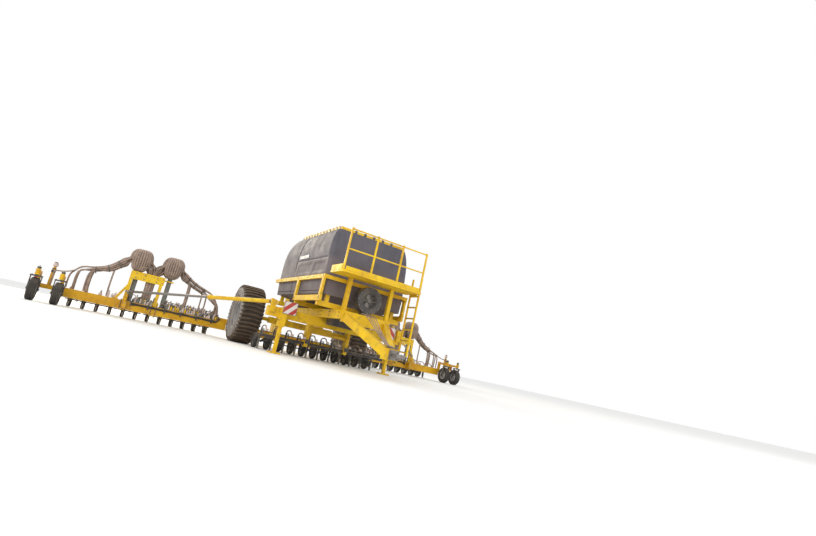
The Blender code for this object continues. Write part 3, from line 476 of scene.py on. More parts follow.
def dress_nodes():
    """Gives every CAD node its material, joined faces and rounded edges."""
    for part in frame["record"]["subparts"]:
        node, look = part["node"], part["material_slot"]
        item = frame["nodes"][node]
        item.data.materials.clear()
        # Wing beams take the darker copy of the frame yellow, which is painted shade.
        item.data.materials.append(LOOKS["wing_yellow_shaded" if node.startswith("wing_beam") else look])
        if "custom_normal" in item.data.attributes:
            item.data.attributes.remove(item.data.attributes["custom_normal"])
        item.data.shade_smooth()
        weld = item.modifiers.new("weld", "WELD")
        weld.merge_threshold = 0.00005
        flat = item.modifiers.new("flat", "DECIMATE")
        flat.decimate_type = "DISSOLVE"
        flat.angle_limit = math.radians(0.5)
        edge_slot = -1
        if look == "frame_yellow":
            item.data.materials.append(LOOKS["yellow_edge"])
            edge_slot = 1
        add_bevel(item, BEVEL_OF_SLOT.get(look, 0.004), edge_slot)


# ---------------------------------------------------------------- wheels
WHEEL_SECTION = [(0.422, 0.250), (0.460, 0.290), (0.515, 0.318), (0.600, 0.342), (0.700, 0.350), (0.775, 0.342),
                 (0.820, 0.322), (0.846, 0.285), (0.856, 0.200)]
LUG_LINE = [(0.0, 0.0, 0.850, 0.900), (0.12, 0.010, 0.850, 0.900), (0.22, 0.024, 0.846, 0.899),
            (0.298, 0.040, 0.832, 0.890), (0.330, 0.050, 0.800, 0.842), (0.338, 0.055, 0.764, 0.778)]
LUGS = 42


def make_wheel(side):
    """Flotation tyre with bar lugs, its bead, and the wheel's nuts and hub cap."""
    sign = SIDES[side]
    body = f"wheel_{side}"
    centre = middle(f"tyre_{side}")
    form = Form()
    form.turned(both_ways(WHEEL_SECTION, [(0.859, 0.0)]), centre, (1, 0, 0), 96, closed=True)
    for x in (-1, 1):
        for r, height in ((0.56, 0.333), (0.70, 0.350)):
            form.ring(centre + Vector((x * height, 0, 0)), (1, 0, 0), r - 0.012, r + 0.012, 0.012, 96)
    form.piece(f"tyre_{side}_carcass", body, "tyre_rubber", replaces=(f"tyre_{side}",))
    lugs = Form()
    for k in range(LUGS):
        add_lug(lugs, centre, 2 * math.pi * k / LUGS)
    lugs.piece(f"tyre_{side}_lugs", body, "lug_rubber", bevel=0.006)
    nuts = Form()
    face = centre.x + sign * 0.03
    for c, s in circle(10):
        nuts.bolt((face, centre.y + 0.205 * c, centre.z + 0.205 * s), (sign, 0, 0), 0.040, 0.032)
    nuts.turned([(0.075, 0.0), (0.075, 0.03), (0.060, 0.055), (0.02, 0.066)],
                (centre.x + sign * 0.17, centre.y, centre.z), (sign, 0, 0), 32)
    nuts.rod((face - sign * 0.005, centre.y + 0.315, centre.z + 0.06), (face + sign * 0.06, centre.y + 0.325,
             centre.z + 0.062), 0.007)
    nuts.piece(f"wheel_nuts_{side}", body, "bare_steel")
    lips = Form()
    for x, thickness in ((0.236, 0.020), (-0.236, 0.020), (0.12, 0.012)):
        lips.ring(centre + Vector((sign * x, 0, 0)), (1, 0, 0), 0.365, 0.428, thickness, 64)
    disc = centre + Vector((sign * 0.045, 0, 0))
    for c, s in circle(8, 0.5):
        out = Vector((0, c, s))
        lips.bar(disc + out * 0.14, disc + out * 0.34, 0.05, 0.022)
    lips.piece(f"rim_lips_{side}", body, "rim_paint", bevel=0.003)


def add_lug(form, centre, start):
    """One bar lug across the tread, swept back a little towards both shoulders."""
    line = [(-x, lag, low, top) for x, lag, low, top in reversed(LUG_LINE[1:])] + LUG_LINE
    loops = []
    for x, lag, low, top in line:
        shift = math.copysign(0.010, x) if abs(x) > 0.32 else 0.0
        loop = []
        for r, width in ((low, 0.030), (low, -0.030), (top, -0.020), (top, 0.020)):
            angle = start + lag + width / top
            push = shift if r == top else 0.0
            loop.append(centre + Vector((x + push, r * math.cos(angle), r * math.sin(angle))))
        loops.append(loop)
    form.loft(loops)


def make_tip_wheel(side, index):
    """Ribbed gauge tyre with its dished rim and hub."""
    node = f"tip_wheel_{index}_{side}"
    centre = middle(node)
    radius = (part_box(node)[1].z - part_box(node)[0].z) / 2
    groove_r = radius - 0.010
    half = [(0.165, 0.070), (0.185, 0.086), (0.235, 0.098), (0.275, 0.094), (0.298, 0.080), (radius, 0.062),
            (radius, 0.046), (groove_r, 0.042), (groove_r, 0.034), (radius, 0.030), (radius, 0.008)]
    tyre = Form()
    tyre.turned(both_ways(half, [(groove_r, 0.0)]), centre, (1, 0, 0), 56, closed=True)
    for way in (-1, 1):
        for c, s in circle(28, 0.25 * way):
            tyre.bar(centre + Vector((way * 0.088, 0.255 * c, 0.255 * s)),
                     centre + Vector((way * 0.074, 0.300 * c, 0.300 * s)), 0.012, 0.014)
    tyre.piece(f"{node}_tyre", node, "packer_rubber", replaces=(node,))
    rim = Form()
    for way in (-1, 1):
        rim.ring(centre + Vector((way * 0.070, 0, 0)), (1, 0, 0), 0.135, 0.172, 0.014, 40)
    dish = [(0.168, 0.075), (0.150, 0.075), (0.140, 0.012), (0.06, 0.012), (0.05, 0.088), (0.024, 0.090)]
    rim.turned(both_ways(dish), centre, (1, 0, 0), 40, closed=True)
    for c, s in circle(5):
        for way in (-1, 1):
            rim.bolt(centre + Vector((way * 0.012, 0.10 * c, 0.10 * s)), (way, 0, 0), 0.020, 0.014)
    rim.piece(f"{node}_rim", node, "rim_paint")


def make_packer(node, body, centres, y, radius=0.22, width=0.11):
    """A row of rubber-tyred press wheels on one shaft."""
    tyres, discs = Form(), Form()
    section = [(0.150, 0.034), (0.185, 0.044), (0.206, 0.040), (0.216, 0.026), (radius, 0.010)]
    profile = both_ways([(r, x * width / 0.09) for r, x in section])
    dish = [(0.156, 0.030), (0.130, 0.030), (0.120, 0.008), (0.05, 0.008), (0.045, 0.045), (0.020, 0.045)]
    for x in centres:
        centre = Vector((x, y, radius))
        tyres.turned(profile, centre, (1, 0, 0), 32, closed=True)
        discs.turned(both_ways(dish), centre, (1, 0, 0), 24, closed=True)
        for c, s in circle(4, 0.5):
            discs.bolt(centre + Vector((math.copysign(0.008, x), 0.085 * c, 0.085 * s)),
                       (math.copysign(1, x), 0, 0), 0.016, 0.010)
    low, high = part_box(node)
    discs.rod((low.x, y, radius), (high.x, y, radius), 0.0175)
    tyres.piece(f"{node}_tyres", body, "packer_rubber", replaces=(node,))
    discs.piece(f"{node}_discs", body, "dark_metal")


# ---------------------------------------------------------------- tank
TANK_FLOOR, TANK_TOP, TANK_SHOULDER, TANK_WALL = 1.72, 3.52, 2.60, 0.02
TANK_ROOF_Y = 1.15
SIDE_SHOULDER = 2.85
BULKHEAD_Y = -0.40
SEAM_Y = 0.46
OUTLET_Z = 1.37
HATCH_R = 0.27


def tank_rear(z):
    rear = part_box("tank_shell")[1].y
    if z <= TANK_SHOULDER:
        return rear - 0.04 * (TANK_SHOULDER - z) / (TANK_SHOULDER - TANK_FLOOR)
    rise = min((z - TANK_SHOULDER) / (TANK_TOP - TANK_SHOULDER), 1.0)
    return TANK_ROOF_Y + (rear - TANK_ROOF_Y) * math.sqrt(max(1.0 - rise * rise, 0.0))


def tank_side(z):
    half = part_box("tank_shell")[1].x
    if z <= SIDE_SHOULDER:
        return half - 0.06 * max(2.10 - z, 0.0)
    rise = min((z - SIDE_SHOULDER) / (TANK_TOP - SIDE_SHOULDER), 1.0)
    return half - 0.20 * (1.0 - math.sqrt(max(1.0 - 0.96 * rise * rise, 0.0)))


def groove(distance, width, depth):
    """A rounded groove's depth at a distance from its middle."""
    if abs(distance) >= width:
        return 0.0
    return depth * (0.5 + 0.5 * math.cos(math.pi * distance / width))


def side_relief(y, z):
    """How far the side wall sinks in: the mould seam, the ledge line ahead of it, and shallow panels."""
    seam = SEAM_Y - 0.30 * max(z - 2.78, 0.0)
    sunk = groove(y - seam, 0.034, 0.026)
    if y < seam:
        sunk += groove(z - 2.70, 0.024, 0.016) * min((seam - y) / 0.08, 1.0)
    for low_y, high_y, deep in ((-1.84, -1.02, 0.016), (-0.86, seam - 0.20, 0.010)):
        edge = min(y - low_y, high_y - y, z - 2.30, 2.60 - z)
        if edge > 0:
            sunk += deep * min(edge / 0.04, 1.0)
    return sunk


def tank_loop(z, inset=0.0, relief=True):
    """Points round the tank at one height, close together along the sides."""
    half, front, rear = tank_side(z) - inset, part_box("tank_shell")[0].y + inset, tank_rear(z) - inset
    front += 0.14 * max(z - 2.10, 0.0)
    corner, steps = 0.10 - inset, 6
    loop = []
    corners = [(half - corner, rear - corner, 0), (-half + corner, rear - corner, 90),
               (-half + corner, front + corner, 180), (half - corner, front + corner, 270)]
    for which, (cx, cy, start) in enumerate(corners):
        for k in range(steps + 1):
            angle = math.radians(start + 90 * k / steps)
            loop.append(Vector((cx + corner * math.cos(angle), cy + corner * math.sin(angle), z)))
        nx, ny, _ = corners[(which + 1) % 4]
        count = 84 if which % 2 else 24
        turn = math.radians(start + 90)
        a = loop[-1].copy()
        b = Vector((nx + corner * math.cos(turn), ny + corner * math.sin(turn), z))
        for k in range(1, count):
            point = a.lerp(b, k / count)
            if which % 2 and relief:
                point.x -= math.copysign(side_relief(point.y, z), point.x)
            loop.append(point)
    return loop


def funnel_loops(low, top, heights, inset):
    """Square sections of a funnel, from its outlet up to the tank's floor."""
    loops = []
    for z in heights:
        t = (z - OUTLET_Z) / (TANK_FLOOR - OUTLET_Z)
        half, front, rear = (a + (b - a) * t for a, b in zip(low, top))
        loops.append([Vector((sx * (half - inset), (front + inset) if sy < 0 else (rear - inset), z))
                      for sx, sy in ((-1, -1), (1, -1), (1, 1), (-1, 1))])
    return loops


def make_tank():
    """Moulded two-cell tank with its seam, panels, funnels and hatch necks, hollow inside."""
    heights = [TANK_FLOOR + (TANK_TOP - TANK_FLOOR) * k / 66 for k in range(66)]
    heights += [TANK_TOP - 0.008, TANK_TOP]
    outer = Form()
    loops = [tank_loop(z) for z in heights[:-1]]
    crown = [Vector((p.x * 0.985, -0.3 + (p.y + 0.3) * 0.985, TANK_TOP)) for p in tank_loop(TANK_TOP - 0.004)]
    outer.loft(loops + [crown])
    body = outer.piece("tank_body", "chassis", "tank_plastic", sharp=50, replaces=("tank_shell",))
    inner = Form()
    ceiling = TANK_TOP - TANK_WALL
    steps = [z for z in heights if TANK_FLOOR + TANK_WALL < z < ceiling][::6] + [ceiling]
    for low, high in ((None, BULKHEAD_Y - 0.01), (BULKHEAD_Y + 0.01, None)):
        cell = []
        for z in steps:
            loop = tank_loop(z, TANK_WALL + 0.03, relief=False)
            for p in loop:
                p.y = min(p.y, high) if high is not None else max(p.y, low)
            cell.append(loop[::4])
        inner.loft(cell)
    necks, funnels, bores = Form(), Form(), Form()
    for where in ("front", "rear"):
        y = middle(f"tank_lid_{where}").y
        necks.turned([(HATCH_R + 0.03, TANK_TOP - 0.02), (HATCH_R + 0.03, TANK_TOP + 0.045),
                      (HATCH_R + 0.025, TANK_TOP + 0.05)], (0, y, 0), UP, 48)
        bores.turned([(HATCH_R, TANK_TOP - 0.20), (HATCH_R, TANK_TOP + 0.20)], (0, y, 0), UP, 48)
        outlet = middle(f"meter_box_{where}").y
        low = (0.44, outlet - 0.16, outlet + 0.16)
        top = (1.05, -1.90, BULKHEAD_Y - 0.12) if where == "front" else (1.05, BULKHEAD_Y + 0.32, 1.66)
        funnels.loft(funnel_loops(low, top, (OUTLET_Z, TANK_FLOOR + 0.01), 0.0))
        bores.loft(funnel_loops(low, top, (OUTLET_Z - 0.03, TANK_FLOOR + 0.09), TANK_WALL))
    for form in (necks, funnels):
        join(body, form, "UNION")
    for form in (inner, bores):
        join(body, form, "DIFFERENCE")
    body.data.shade_smooth()
    body.data.set_sharp_from_angle(angle=math.radians(50))
    straps = Form()
    for y in (-1.66, -0.78, 1.05):
        for sign in (-1, 1):
            straps.box((sign * 1.181, y - 0.02, 2.12), (sign * 1.186, y + 0.02, 2.26))
            straps.bolt((sign * 1.184, y, 2.235), (sign, 0, 0), 0.022, 0.012)
    straps.piece("tank_clips", "chassis", "bare_steel")
    plates = Form()
    # Pale grey plates on the tank's upper sides: a painted highlight, put where the side shows a bright patch.
    for sign in (-1, 1):
        plates.box((sign * 1.150, -0.44, 2.760), (sign * 1.196, 0.30, 2.865))
    plates.piece("tank_highlight_plates", "chassis", "rim_paint", bevel=0.006)


def join(target, form, operation):
    """Applies one boolean with a form to a piece."""
    tool = bpy.data.objects.new("tool", form.mesh("tool"))
    bpy.context.scene.collection.objects.link(tool)
    step = target.modifiers.new("step", "BOOLEAN")
    step.operation = operation
    step.object = tool
    step.solver = "EXACT"
    bpy.context.view_layer.update()
    done = bpy.data.meshes.new_from_object(target.evaluated_get(bpy.context.evaluated_depsgraph_get()))
    target.modifiers.clear()
    target.data = done
    bpy.data.objects.remove(tool)


def make_lid_fittings(where):
    """Handle, hinge pin and stiffening ribs of a hatch lid, and its hinge lugs on the tank."""
    node = f"tank_lid_{where}"
    low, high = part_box(node)
    y = middle(node).y
    top = high.z
    lid = Form()
    for c, s in circle(8, 0.5):
        lid.bar((0.11 * c, y + 0.11 * s, top - 0.008), (0.26 * c, y + 0.26 * s, top - 0.040), 0.016, 0.014)
    lid.piece(f"lid_ribs_{where}", f"lid_{where}", "lid_plastic", bevel=0.003)
    grip = Form()
    grip.tube(smooth_route([(-0.20, y - 0.06, top - 0.030), (-0.235, y - 0.055, top - 0.008),
                            (-0.240, y, top - 0.003), (-0.235, y + 0.055, top - 0.008),
                            (-0.20, y + 0.06, top - 0.030)]), 0.008)
    grip.rod((high.x - 0.006, y - 0.085, low.z + 0.0175), (high.x - 0.006, y + 0.085, low.z + 0.0175), 0.009)
    grip.piece(f"lid_handle_{where}", f"lid_{where}", "bare_steel")
    lugs = Form()
    for way in (-1, 1):
        lugs.box((high.x - 0.03, y + way * 0.066, TANK_TOP + 0.001),
                 (high.x + 0.012, y + way * 0.078, low.z + 0.035))
    lugs.piece(f"lid_lugs_{where}", "chassis", "dark_metal", bevel=0.002)


# ---------------------------------------------------------------- tank frame, platform, chassis
def make_frame_fasteners():
    """Bolts of the tank cradle, chassis, axle and cross beam, and the cradle's corner gussets."""
    bolts, plates = Form(), Form()
    low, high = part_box("tank_cradle")
    axle = middle("axle_beam")
    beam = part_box("cross_beam")[0]
    posts = (low.y + 0.08, -0.24)
    for sign in (-1, 1):
        out = (sign, 0, 0)
        bolts.bolts([sign * (high.x - 0.004)], posts, (1.58, 1.62, 2.13, 2.17), out, 0.022, 0.014)
        for y in posts:
            for z, way in ((2.098, -1), (1.662, 1)):
                for reach in (-1, 1) if z > 2 or y < -1 else (-1,):
                    a = Vector((sign * (high.x - 0.034), y + reach * 0.058, z))
                    plates.bar(a + Vector((0, 0, way * 0.05)), a + Vector((0, reach * 0.07, way * 0.004)),
                               0.010, 0.012)
        bolts.bolts([sign * (high.x - 0.001)], [low.y + 0.32 + 0.46 * k for k in range(9)], [2.15], out,
                    0.018, 0.010)
        bolts.bolts([sign * 0.69], (-2.30, -1.70, -1.10, -0.10, 0.90, 1.50, 2.60), (1.25, 1.35), out,
                    0.024, 0.014)
        bolts.bolts([sign * 0.73], (axle.y - 0.13, axle.y + 0.13), (1.02, 1.10), out, 0.028, 0.018)
        bolts.bolts((sign * 1.01, sign * 1.09), (beam.y + 0.25, beam.y + 0.41), [1.189], UP, 0.024, 0.012)
    bolts.piece("frame_bolts", "chassis", "bare_steel")
    plates.piece("cradle_gussets", "chassis", "frame_yellow")


def make_top_rail_fittings():
    """Dark clamps and yellow lugs along the rail round the hatches."""
    low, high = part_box("top_rail")
    clamps = Form()
    for sign in (-1, 1):
        x = sign * (high.x - 0.025)
        for k in range(13):
            y = low.y + 0.08 + 0.235 * k
            clamps.box((x - 0.034, y, low.z + 0.001), (x + 0.034, y + 0.075, high.z + 0.008))
            clamps.bolt((x, y + 0.037, high.z + 0.006), UP, 0.022, 0.012)
    for y in (low.y + 0.025, high.y - 0.025):
        for k in range(5):
            x = -0.56 + 0.28 * k
            clamps.box((x - 0.035, y - 0.032, low.z + 0.001), (x + 0.035, y + 0.032, high.z + 0.006))
    clamps.piece("rail_clamps", "chassis", "dark_metal", bevel=0.003)
    lugs = Form()
    for sign in (-1, 1):
        x = sign * (high.x - 0.028)
        for k in range(12):
            y = low.y + 0.20 + 0.235 * k
            top = high.z + 0.022 + 0.012 * (k % 2)
            lugs.box((x - 0.026, y, high.z - 0.002), (x + 0.026, y + 0.090, top))
            lugs.turned([(0.012, 0.0), (0.016, 0.004), (0.016, 0.018), (0.006, 0.024)], (x, y + 0.045, top),
                        UP, 12)
    lugs.piece("rail_lugs", "chassis", "frame_yellow", bevel=0.003)


def make_platform_fittings():
    """Grating, toe boards and post feet of the platform, and the ladder's treads."""
    low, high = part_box("platform")
    deck_z = 2.31
    grate = Form()
    for k in range(22):
        x = -1.06 + 0.101 * k
        grate.box((x, low.y + 0.08, deck_z + 0.001), (x + 0.012, high.y - 0.08, deck_z + 0.018))
    for k in range(5):
        y = low.y + 0.10 + 0.135 * k
        grate.box((-1.07, y, deck_z + 0.001), (1.075, y + 0.010, deck_z + 0.014))
    grate.piece("platform_grating", "chassis", "bare_steel")
    boards = Form()
    for sign in (-1, 1):
        for x in (0.38, 1.10):
            boards.box((sign * x - 0.045, low.y + 0.006, deck_z + 0.001),
                       (sign * x + 0.045, low.y + 0.075, deck_z + 0.013))
            boards.turned([(0.012, -0.02), (0.026, -0.012), (0.026, 0.012), (0.012, 0.02)],
                          (sign * min(x, 1.12), low.y + 0.04, high.z - 0.004), UP, 20)
    boards.box((-1.149, low.y + 0.07, deck_z + 0.002), (-1.140, high.y - 0.01, deck_z + 0.14))
    boards.box((-1.08, low.y + 0.004, deck_z + 0.002), (1.08, low.y + 0.012, deck_z + 0.10))
    boards.piece("platform_toe_boards", "chassis", "frame_yellow", bevel=0.003)
    steps = Form()
    lo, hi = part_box("ladder")
    for k in range(6):
        z = 0.70 + 0.30 * k + 0.030
        for j in range(7):
            y = lo.y + 0.065 + 0.052 * j
            steps.box((lo.x + 0.008, y, z - 0.002), (hi.x - 0.008, y + 0.02, z + 0.007))
    steps.piece("ladder_treads", "chassis", "dark_metal")


def make_fan_fittings():
    """Inlet guard and casing bolts of the fan."""
    centre = Vector((0, -2.36, 1.80))
    guard = Form()
    for radius in (0.06, 0.11, 0.16):
        guard.ring(centre - Vector((0, 0.13, 0)), (0, 1, 0), radius - 0.004, radius + 0.004, 0.008, 40)
    mouth = centre - Vector((0, 0.136, 0))
    for c, s in circle(8)[:4]:
        out = Vector((c, 0, s)) * 0.20
        guard.rod(mouth - out, mouth + out, 0.004, 8)
    guard.piece("fan_guard", "chassis", "bare_steel")
    bolts = Form()
    for c, s in circle(12):
        for way in (-1, 1):
            bolts.bolt(centre + Vector((0.32 * c, way * 0.12, 0.32 * s)), (0, way, 0), 0.018, 0.010)
    bolts.piece("fan_bolts", "chassis", "bare_steel")


def make_meter_fittings(where):
    """Bearings, bolts, drive motor and its bracket on a meter box."""
    low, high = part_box(f"meter_box_{where}")
    y = (low.y + high.y) / 2
    plate = Form()
    for sign in (-1, 1):
        plate.turned([(0.030, 0.0), (0.065, 0.0), (0.065, 0.016), (0.030, 0.016)], (sign * 0.4705, y, 1.21),
                     (sign, 0, 0), 24, closed=True)
        for c, s in circle(4, 0.5):
            plate.bolt((sign * 0.486, y + 0.050 * c, 1.21 + 0.050 * s), (sign, 0, 0), 0.012, 0.008)
    for way in (-1, 1):
        plate.bolts([-0.40 + 0.16 * k for k in range(6)], [y + way * 0.18], [high.z - 0.03], (0, way, 0),
                    0.016, 0.010)
    plate.piece(f"meter_bearings_{where}", "chassis", "bare_steel")
    motor = Form()
    motor.box((0.535, y - 0.055, 1.15), (0.60, y + 0.055, 1.27))
    motor.turned([(0.048, 0.0), (0.052, 0.01), (0.052, 0.13), (0.040, 0.145)], (0.60, y, 1.21), (1, 0, 0), 28)
    motor.box((0.471, y - 0.07, 1.285), (0.60, y + 0.07, 1.297))
    motor.piece(f"meter_motor_{where}", "chassis", "dark_metal", bevel=0.003)


def make_leg_fittings(side):
    """Sleeve pin, top cap and foot bolts of a support leg, and the warning board's edge trim."""
    sign = SIDES[side]
    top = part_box(f"support_leg_{side}")[1].z
    x, y = sign * 1.66, middle(f"support_leg_{side}").y
    pin = Form()
    pin.rod((x - 0.10, y, 0.86), (x + 0.10, y, 0.86), 0.012)
    pin.turned([(0.018, 0), (0.018, 0.012)], (x + sign * 0.10, y, 0.86), (sign, 0, 0), 16)
    pin.piece(f"leg_pin_{side}", "chassis", "bare_steel")
    foot = Form()
    foot.box((x - 0.050, y - 0.050, top - 0.012), (x + 0.050, y + 0.050, top - 0.001))
    foot.bolts((x - 0.10, x + 0.10), (y - 0.10, y + 0.10), [0.040], UP, 0.022, 0.014)
    foot.piece(f"leg_cap_{side}", f"support_leg_{side}", "bare_steel")
    low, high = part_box(f"warning_board_{side}")
    trim = Form()
    for z in (low.z, high.z):
        trim.box((low.x, low.y - 0.004, z - 0.006), (high.x, high.y, z + 0.006))
    for edge in (low.x, high.x):
        trim.box((edge - 0.006, low.y - 0.004, low.z), (edge + 0.006, high.y, high.z))
    trim.piece(f"board_trim_{side}", "chassis", "bare_steel")


def make_drawbar_fittings():
    """Hoses with couplers along the drawbar, their clamp bar, and the hitch bolts."""
    hoses, couplers = Form(), Form()
    for k in range(4):
        x = -0.045 + 0.03 * k
        points = [(x * 4, -2.52, 1.44), (x * 3, -2.75, 1.38), (x * 1.6, -3.35, 1.02), (x, -3.85, 0.765),
                  (x, -4.10, 0.735)]
        hoses.tube(smooth_route(points, 8), 0.012)
        couplers.rod((x, -4.10, 0.735), (x, -4.17, 0.728), 0.014)
    hoses.piece("drawbar_hoses", "chassis", "hose_rubber")
    couplers.box((-0.065, -4.00, 0.695), (0.065, -3.94, 0.765))
    couplers.bolts((-0.09, 0.09), [-4.219], (0.50, 0.64), (0, -1, 0), 0.030, 0.020)
    couplers.piece("drawbar_couplers", "chassis", "bare_steel")


# ---------------------------------------------------------------- wings
BEAM_TOP = 0.52
ROW_PITCH = 0.36
TINES = [2.56 + ROW_PITCH * k for k in range(12)]
SHAFT_Y, SHAFT_Z = 3.56, 0.40
PACKER_Y = 4.38
HEAD_HOSE_R, HOSE_R = 0.031, 0.024
HEAD_HOSES = 28
ROUTES = {
    "outer": [(5.43, 1.66), (5.56, 1.53), (5.80, 1.34), (6.10, 1.21), (6.42, 1.13), (6.66, 1.07), (6.72, 1.05)],
    "shared_1": [(4.74, 1.66), (4.695, 1.53), (4.675, 1.36), (4.66, 1.00), (4.66, 0.62)],
    "shared_2": [(4.45, 1.66), (4.530, 1.53), (4.570, 1.36), (4.59, 1.00), (4.59, 0.62)],
    "inner": [(3.75, 1.66), (3.61, 1.57), (3.38, 1.45), (3.10, 1.34), (2.82, 1.22), (2.60, 1.06), (2.44, 0.92)],
}
SPREAD = {"outer": 0.090, "shared_1": 0.078, "shared_2": 0.078, "inner": 0.092}
DROPS = {"outer": (5.64, 6.20, 6.16, 6.47, 6.23, 6.18, 6.14, 6.50, 6.19, 6.66),
         "inner": (3.56, 3.50, 3.53, 2.95, 3.10, 2.62, 2.58, 2.55, 2.52, 2.49)}
HEAD_ROUTES = ({1: "outer", -1: "shared_1"}, {1: "shared_2", -1: "inner"})
DOME_LINE = [(0.100, 0.050), (0.160, 0.032), (0.225, 0.075), (0.283, 0.175), (0.304, 0.310)]
SKIRT_LINE = [(0.298, 0.440), (0.265, 0.550), (0.200, 0.618), (0.130, 0.650)]


def route_height(route, x):
    """Height of a route above a given distance from the machine's middle."""
    for (x0, z0), (x1, z1) in zip(route, route[1:]):
        if min(x0, x1) <= x <= max(x0, x1):
            return z0 + (z1 - z0) * (x - x0) / (x1 - x0)
    return route[-1][1]


def bundle_points(sign, y, route, offset, drop):
    """One hose's way along its bundle, and down to the beam where it leaves the bundle."""
    points = []
    way = 1 if route[-1][0] > route[0][0] else -1
    for i, (x, z) in enumerate(route):
        if drop is not None and (drop - 0.12 * way - x) * way < 0:
            break
        ahead, back = route[min(i + 1, len(route) - 1)], route[max(i - 1, 0)]
        along = Vector((sign * (ahead[0] - back[0]), 0, ahead[1] - back[1])).normalized()
        across = along.cross(Vector((0, 1, 0)))
        loose = 1.0 + (0.45 if abs(route[-1][0] - route[0][0]) < 0.5 else 0.15) * (2 - min(i, 2))
        points.append(Vector((sign * x, y + offset[1] * loose, z)) + across * (offset[0] * loose))
    if drop is not None:
        level = route_height(route, drop) + offset[0] * 0.5
        points.append(Vector((sign * (drop - 0.055 * way), y + offset[1], level)))
        points.append(Vector((sign * drop, y + offset[1] * 0.8, level - 0.11)))
        points.append(Vector((sign * (drop + 0.012 * way), y + offset[1] * 0.6, (level + BEAM_TOP) / 2)))
        points.append(Vector((sign * (drop + 0.004 * way), y + offset[1] * 0.5, BEAM_TOP + 0.015)))
    return points


def make_head_hoses(side, index, centre, top):
    """The ring of hoses that arch out of a head, run down its skirt, and leave in two bundles."""
    sign = SIDES[side]
    hoses = Form()
    packs = {1: [], -1: []}
    for c, s in circle(HEAD_HOSES, 0.5):
        out = Vector((sign * c, s, 0))
        arch, skirt = [[centre + out * r + UP * (top - d) for r, d in line]
                       for line in (DOME_LINE, SKIRT_LINE)]
        if abs(c) > 0.45:
            packs[1 if c > 0 else -1].append(arch)
            if abs(c) > 0.80:
                continue
        hoses.tube(smooth_route(arch + skirt, 4), HEAD_HOSE_R)
    for way, arches in packs.items():
        word = HEAD_ROUTES[index - 1][way]
        for k, arch in enumerate(arches):
            reach = SPREAD[word] * math.sqrt((k + 0.5) / len(arches))
            offset = (reach * math.cos(2.4 * k), reach * math.sin(2.4 * k))
            drop = DROPS[word][k % len(DROPS[word])] if word in DROPS else None
            way_down = bundle_points(sign, centre.y, ROUTES[word], offset, drop)
            hoses.tube(smooth_route(arch + way_down, 4),
                       lambda t: HEAD_HOSE_R - (HEAD_HOSE_R - HOSE_R) * min(t * 3, 1.0))
    return hoses


def make_tower(side, index):
    """Riser pipe, distribution head and the ring of seed hoses that leave it."""
    node = f"tower_{index}_{side}"
    word = "outer" if index == 1 else "inner"
    low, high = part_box(node)
    centre = Vector(((low.x + high.x) / 2, (low.y + high.y) / 2, 0))
    top = high.z
    body = f"wing_{side}"
    pipe = Form()
    profile = [(0.094, BEAM_TOP + 0.001), (0.094, BEAM_TOP + 0.020), (0.074, BEAM_TOP + 0.024)]
    ribs = 46
    for k in range(ribs):
        z = BEAM_TOP + 0.04 + (top - 0.42 - BEAM_TOP - 0.04) * k / ribs
        profile += [(0.0695, z), (0.0655, z + 0.012)]
    profile += [(0.070, top - 0.40), (0.085, top - 0.30), (0.125, top - 0.245)]
    pipe.turned(profile, centre, UP, 32)
    for c, s in circle(6, 0.5):
        pipe.bolt(centre + Vector((0.083 * c, 0.083 * s, BEAM_TOP + 0.020)), UP, 0.014, 0.010)
    pipe.piece(f"{node}_riser", body, "grey_plastic", replaces=(node,))
    head = Form()
    head.turned([(0.120, top - 0.255), (0.152, top - 0.245), (0.152, top - 0.130), (0.160, top - 0.126),
                 (0.160, top - 0.106), (0.146, top - 0.100), (0.118, top - 0.045), (0.060, top - 0.012),
                 (0.020, top - 0.004)], centre, UP, 48)
    for c, s in circle(12):
        head.bolt(centre + Vector((0.150 * c, 0.150 * s, top - 0.108)), UP, 0.012, 0.009)
    head.piece(f"{node}_head", body, "dark_metal")
    hoses = make_head_hoses(side, index, centre, top)
    hoses.piece(f"{node}_hoses", body, "hose_rubber", replaces=(f"hose_bundle_{word}_{side}",))
    ties = Form()
    for k, (x, z) in enumerate(ROUTES[word][1:4]):
        near = ROUTES[word][k + 2]
        along = Vector((SIDES[side] * (near[0] - x), 0, near[1] - z))
        radius = SPREAD[word] * (1.13, 0.98, 0.94)[k] + 0.014
        ties.ring((SIDES[side] * x, centre.y, z), along, radius, radius + 0.008, 0.024, 28)
    ties.piece(f"{node}_hose_ties", body, "dark_metal")


def make_tower_frame_fittings(side):
    """Gussets, bolts and U-bolts that hold the tower frame to the wing beam."""
    sign = SIDES[side]
    body = f"wing_{side}"
    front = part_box(f"tower_frame_{side}")[0].y
    plates, bolts = Form(), Form()
    for x0, x1 in ((4.80, 5.10), (4.29, 4.52)):
        plates.box((sign * x0, front - 0.006, 1.225), (sign * x1, front + 0.001, 1.425))
        bolts.bolts((sign * (x0 + 0.035), sign * (x1 - 0.035)), [front - 0.006], (1.262, 1.388), (0, -1, 0),
                    0.020, 0.012)
    for x in (5.17, 4.34):
        for way in (-1, 1):
            leg = sign * (x + way * 0.070)
            bolts.tube(smooth_route([(leg, 3.150, 0.55), (leg, 3.150, 0.40), (leg, 3.150, 0.235),
                                     (leg, 3.165, 0.232)], 3), 0.009)
            bolts.bolt((leg, 3.180, BEAM_TOP + 0.022), UP, 0.020, 0.014)
        plates.box((sign * (x - 0.09), 3.140, 0.236), (sign * (x + 0.09), 3.152, 0.256))
    plates.piece(f"tower_gussets_{side}", body, "frame_yellow", bevel=0.002)
    bolts.piece(f"tower_bolts_{side}", body, "bare_steel")


